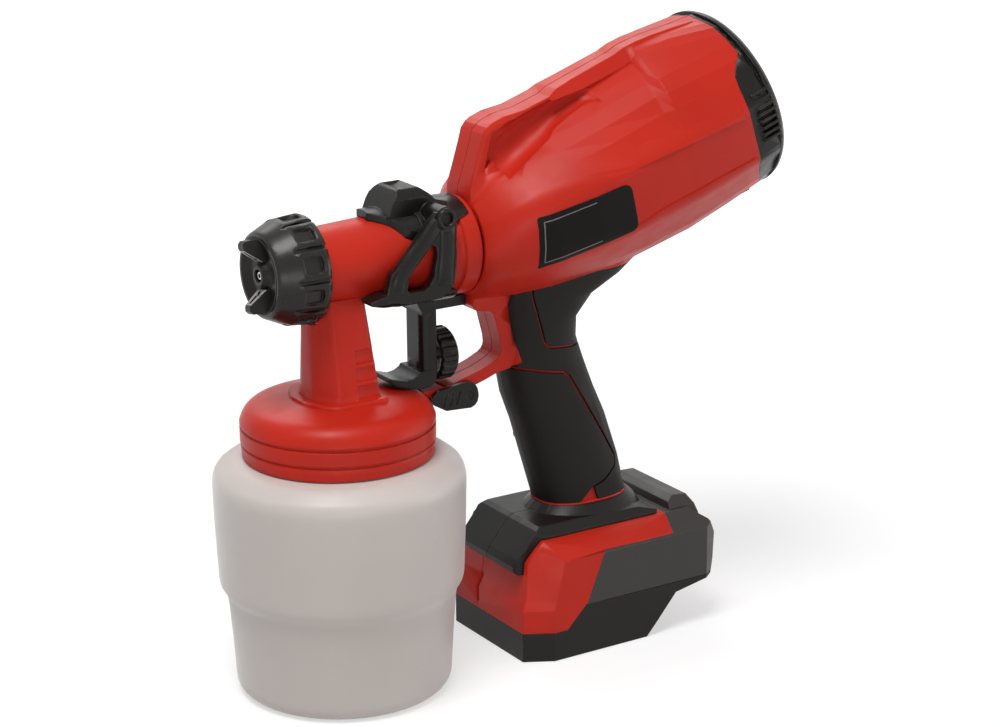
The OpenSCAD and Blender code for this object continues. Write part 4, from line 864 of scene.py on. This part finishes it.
# air holes in the slanted face: from and to, as shares of its length, and half their width as a
# share of its half width
HORN_HOLES = ((0.12, 0.32), (0.42, 0.90))
HOLE_HALF = 0.36
HOLE_DEEP = 1.8
# the pale grey layer on the slanted face, and its width at the top as a share
PALE_LAYER_PROUD = 0.15
PALE_LAYER_NARROWED = 0.97
JOIN_WITHIN = 0.01 * MM


def air_cap_face():
    """The cap's cut outline, turned about the barrel's axis."""
    work = bmesh.new()
    rings = []
    for k in range(CAP_SIDES):
        turn = 2 * math.pi * k / CAP_SIDES
        rings.append([work.verts.new((x * MM, radius * math.sin(turn) * MM,
                                      (BARREL_Z + radius * math.cos(turn)) * MM))
                      for radius, x in CAP_OUTLINE])
    hoop(work, rings)
    return work


def horn_half(x):
    """A horn's half width at a place along the barrel."""
    share = (x - HORN_TIP_X) / (HORN_ROOT_X - HORN_TIP_X)
    share = min(1.0, max(0.0, share))
    return HORN_HALF_TIP + (HORN_HALF_ROOT - HORN_HALF_TIP) * share


def air_cap_horn(turn):
    """A horn with two air holes in its slanted face, and a pale grey layer round them, as two
    meshes in the making."""
    spin = (Matrix.Translation((0.0, 0.0, BARREL_Z * MM))
            @ Matrix.Rotation(math.radians(turn), 4, "X"))

    def point(x, across, radius):
        return spin @ (Vector((x, across, radius)) * MM)

    work = bmesh.new()
    left_side, right_side = (
        [work.verts.new(point(x, sign * horn_half(x), radius)) for x, radius in HORN_SIDE]
        for sign in (-1, 1)
    )
    for i in range(1, len(HORN_SIDE)):
        j = (i + 1) % len(HORN_SIDE)
        work.faces.new((left_side[i], left_side[j], right_side[j], right_side[i]))
    work.faces.new(left_side)
    work.faces.new(right_side[::-1])

    # the slanted face in cells, some of them sunk as holes and the others under the pale grey
    # layer
    inner, outer = Vector(HORN_SIDE[0]), Vector(HORN_SIDE[1])
    into = leftward(inner - outer).normalized()
    pale_layer = bmesh.new()

    def cell(shift, narrowed=1.0):
        return [point(q.x + into.x * shift, share * horn_half(q.x) * narrowed,
                      q.y + into.y * shift) for q, share in corners]

    lengths = sorted({0.0, 1.0, *(end for hole in HORN_HOLES for end in hole)})
    widths = (-1.0, -HOLE_HALF, HOLE_HALF, 1.0)
    for start, end in zip(lengths, lengths[1:]):
        low, high = inner.lerp(outer, start), inner.lerp(outer, end)
        for left, right in zip(widths, widths[1:]):
            corners = ((low, left), (low, right), (high, right), (high, left))
            if (start, end) in HORN_HOLES and left < 0.0 < right:
                rim = [work.verts.new(spot) for spot in cell(0.0)]
                floor = [work.verts.new(spot) for spot in cell(HOLE_DEEP)]
                work.faces.new(floor)
                band(work, rim, floor)
            else:
                work.faces.new([work.verts.new(spot) for spot in cell(0.0)])
                bottom = [pale_layer.verts.new(spot) for spot in cell(0.0)]
                top = [pale_layer.verts.new(spot) for spot in cell(-PALE_LAYER_PROUD, PALE_LAYER_NARROWED)]
                pale_layer.faces.new(top)
                band(pale_layer, bottom, top)
    for part in (work, pale_layer):
        bmesh.ops.remove_doubles(part, verts=part.verts, dist=JOIN_WITHIN)
    return work, pale_layer


new_solid("air_cap_face", air_cap_face(), CAP_SMOOTH_BELOW, "black_plastic", "air_cap",
          ["air_cap"])
for number, horn_turn in enumerate(HORN_TURNS):
    horn, pale_layer = air_cap_horn(horn_turn)
    new_solid(f"air_cap_horn_{number}", horn, HORN_SMOOTH_BELOW, "black_plastic", "air_cap",
              ["air_cap"])
    new_solid(f"air_cap_pale_layer_{number}", pale_layer, HORN_SMOOTH_BELOW, "horn_grey", "air_cap")


# ---- stage ----
WHITE = (1.0, 1.0, 1.0, 1.0)
FLOOR_GREY = (0.55, 0.55, 0.55, 1.0)
FLOOR_MIDDLE = (0.08, 0.0)
FLOOR_HALF = 3.0
FLOOR_GAP = 0.0002
# how white the eye sees the floor, under the object and from FLOOR_FAR on
FLOOR_LIFT = (0.54, 1.0)
FLOOR_NEAR = 0.25
FLOOR_FAR = 1.0
WORLD_LIGHT = 0.2
LAMPS_AIM = Vector((0.09, 0.0, 0.15))
# place, width and height, and watts
LAMPS = {
    "key": ((-0.34, -0.3, 1.45), (0.6, 0.6), 14.0),
    "fill": ((-0.6, -1.35, 0.2), (0.9, 0.5), 4.4),
    "side": ((1.3, -0.8, 0.25), (0.8, 0.6), 4.0),
    "rim": ((0.35, 0.9, 1.0), (1.0, 0.5), 4.0),
}


def make_floor():
    """A pale floor under the object's lowest point, which the eye sees as white with a shadow."""
    work = bmesh.new()
    bmesh.ops.create_grid(work, x_segments=1, y_segments=1, size=FLOOR_HALF)
    floor = link(bpy.data.objects.new("floor", made_mesh("floor", work, SMOOTH_BELOW)))
    lowest = cad_box[0][2]
    floor.location = (*FLOOR_MIDDLE, lowest - FLOOR_GAP)
    tree = Tree("floor")
    tree.give("Base Color", FLOOR_GREY)
    tree.give("Roughness", 0.9)
    tree.give("Emission Color", WHITE)
    away = tree.add("VectorMath", {0: tree.place()}, operation="LENGTH").outputs["Value"]
    lift = tree.between(away, FLOOR_NEAR, FLOOR_FAR, *FLOOR_LIFT)
    tree.give("Emission Strength", tree.times(seen_by_eye(tree.nodes, tree.links), lift))
    floor.data.materials.append(tree.material)


def make_world():
    """An even pale surround, seen as white by the camera and by shiny things."""
    world = bpy.data.worlds.new("surround")
    world.use_nodes = True
    nodes, links = world.node_tree.nodes, world.node_tree.links
    lit, seen = nodes["Background"], nodes.new("ShaderNodeBackground")
    choose = nodes.new("ShaderNodeMixShader")
    links.new(seen_by_eye(nodes, links), choose.inputs[0])
    for background, strength, socket in ((lit, WORLD_LIGHT, 1), (seen, 1.0, 2)):
        background.inputs["Color"].default_value = WHITE
        background.inputs["Strength"].default_value = strength
        links.new(background.outputs[0], choose.inputs[socket])
    links.new(choose.outputs[0], nodes["World Output"].inputs["Surface"])
    bpy.context.scene.world = world


def make_lamps():
    """Soft studio lamps round the object."""
    for name, (place, size, power) in LAMPS.items():
        data = bpy.data.lights.new(name, "AREA")
        data.shape = "RECTANGLE"
        data.size, data.size_y = size
        data.energy = power
        lamp = link(bpy.data.objects.new(name, data))
        lamp.location = place
        lamp.rotation_euler = (Vector(place) - LAMPS_AIM).to_track_quat("Z", "Y").to_euler()


make_camera()
make_floor()
make_world()
make_lamps()
bpy.context.scene.view_settings.view_transform = "Standard"
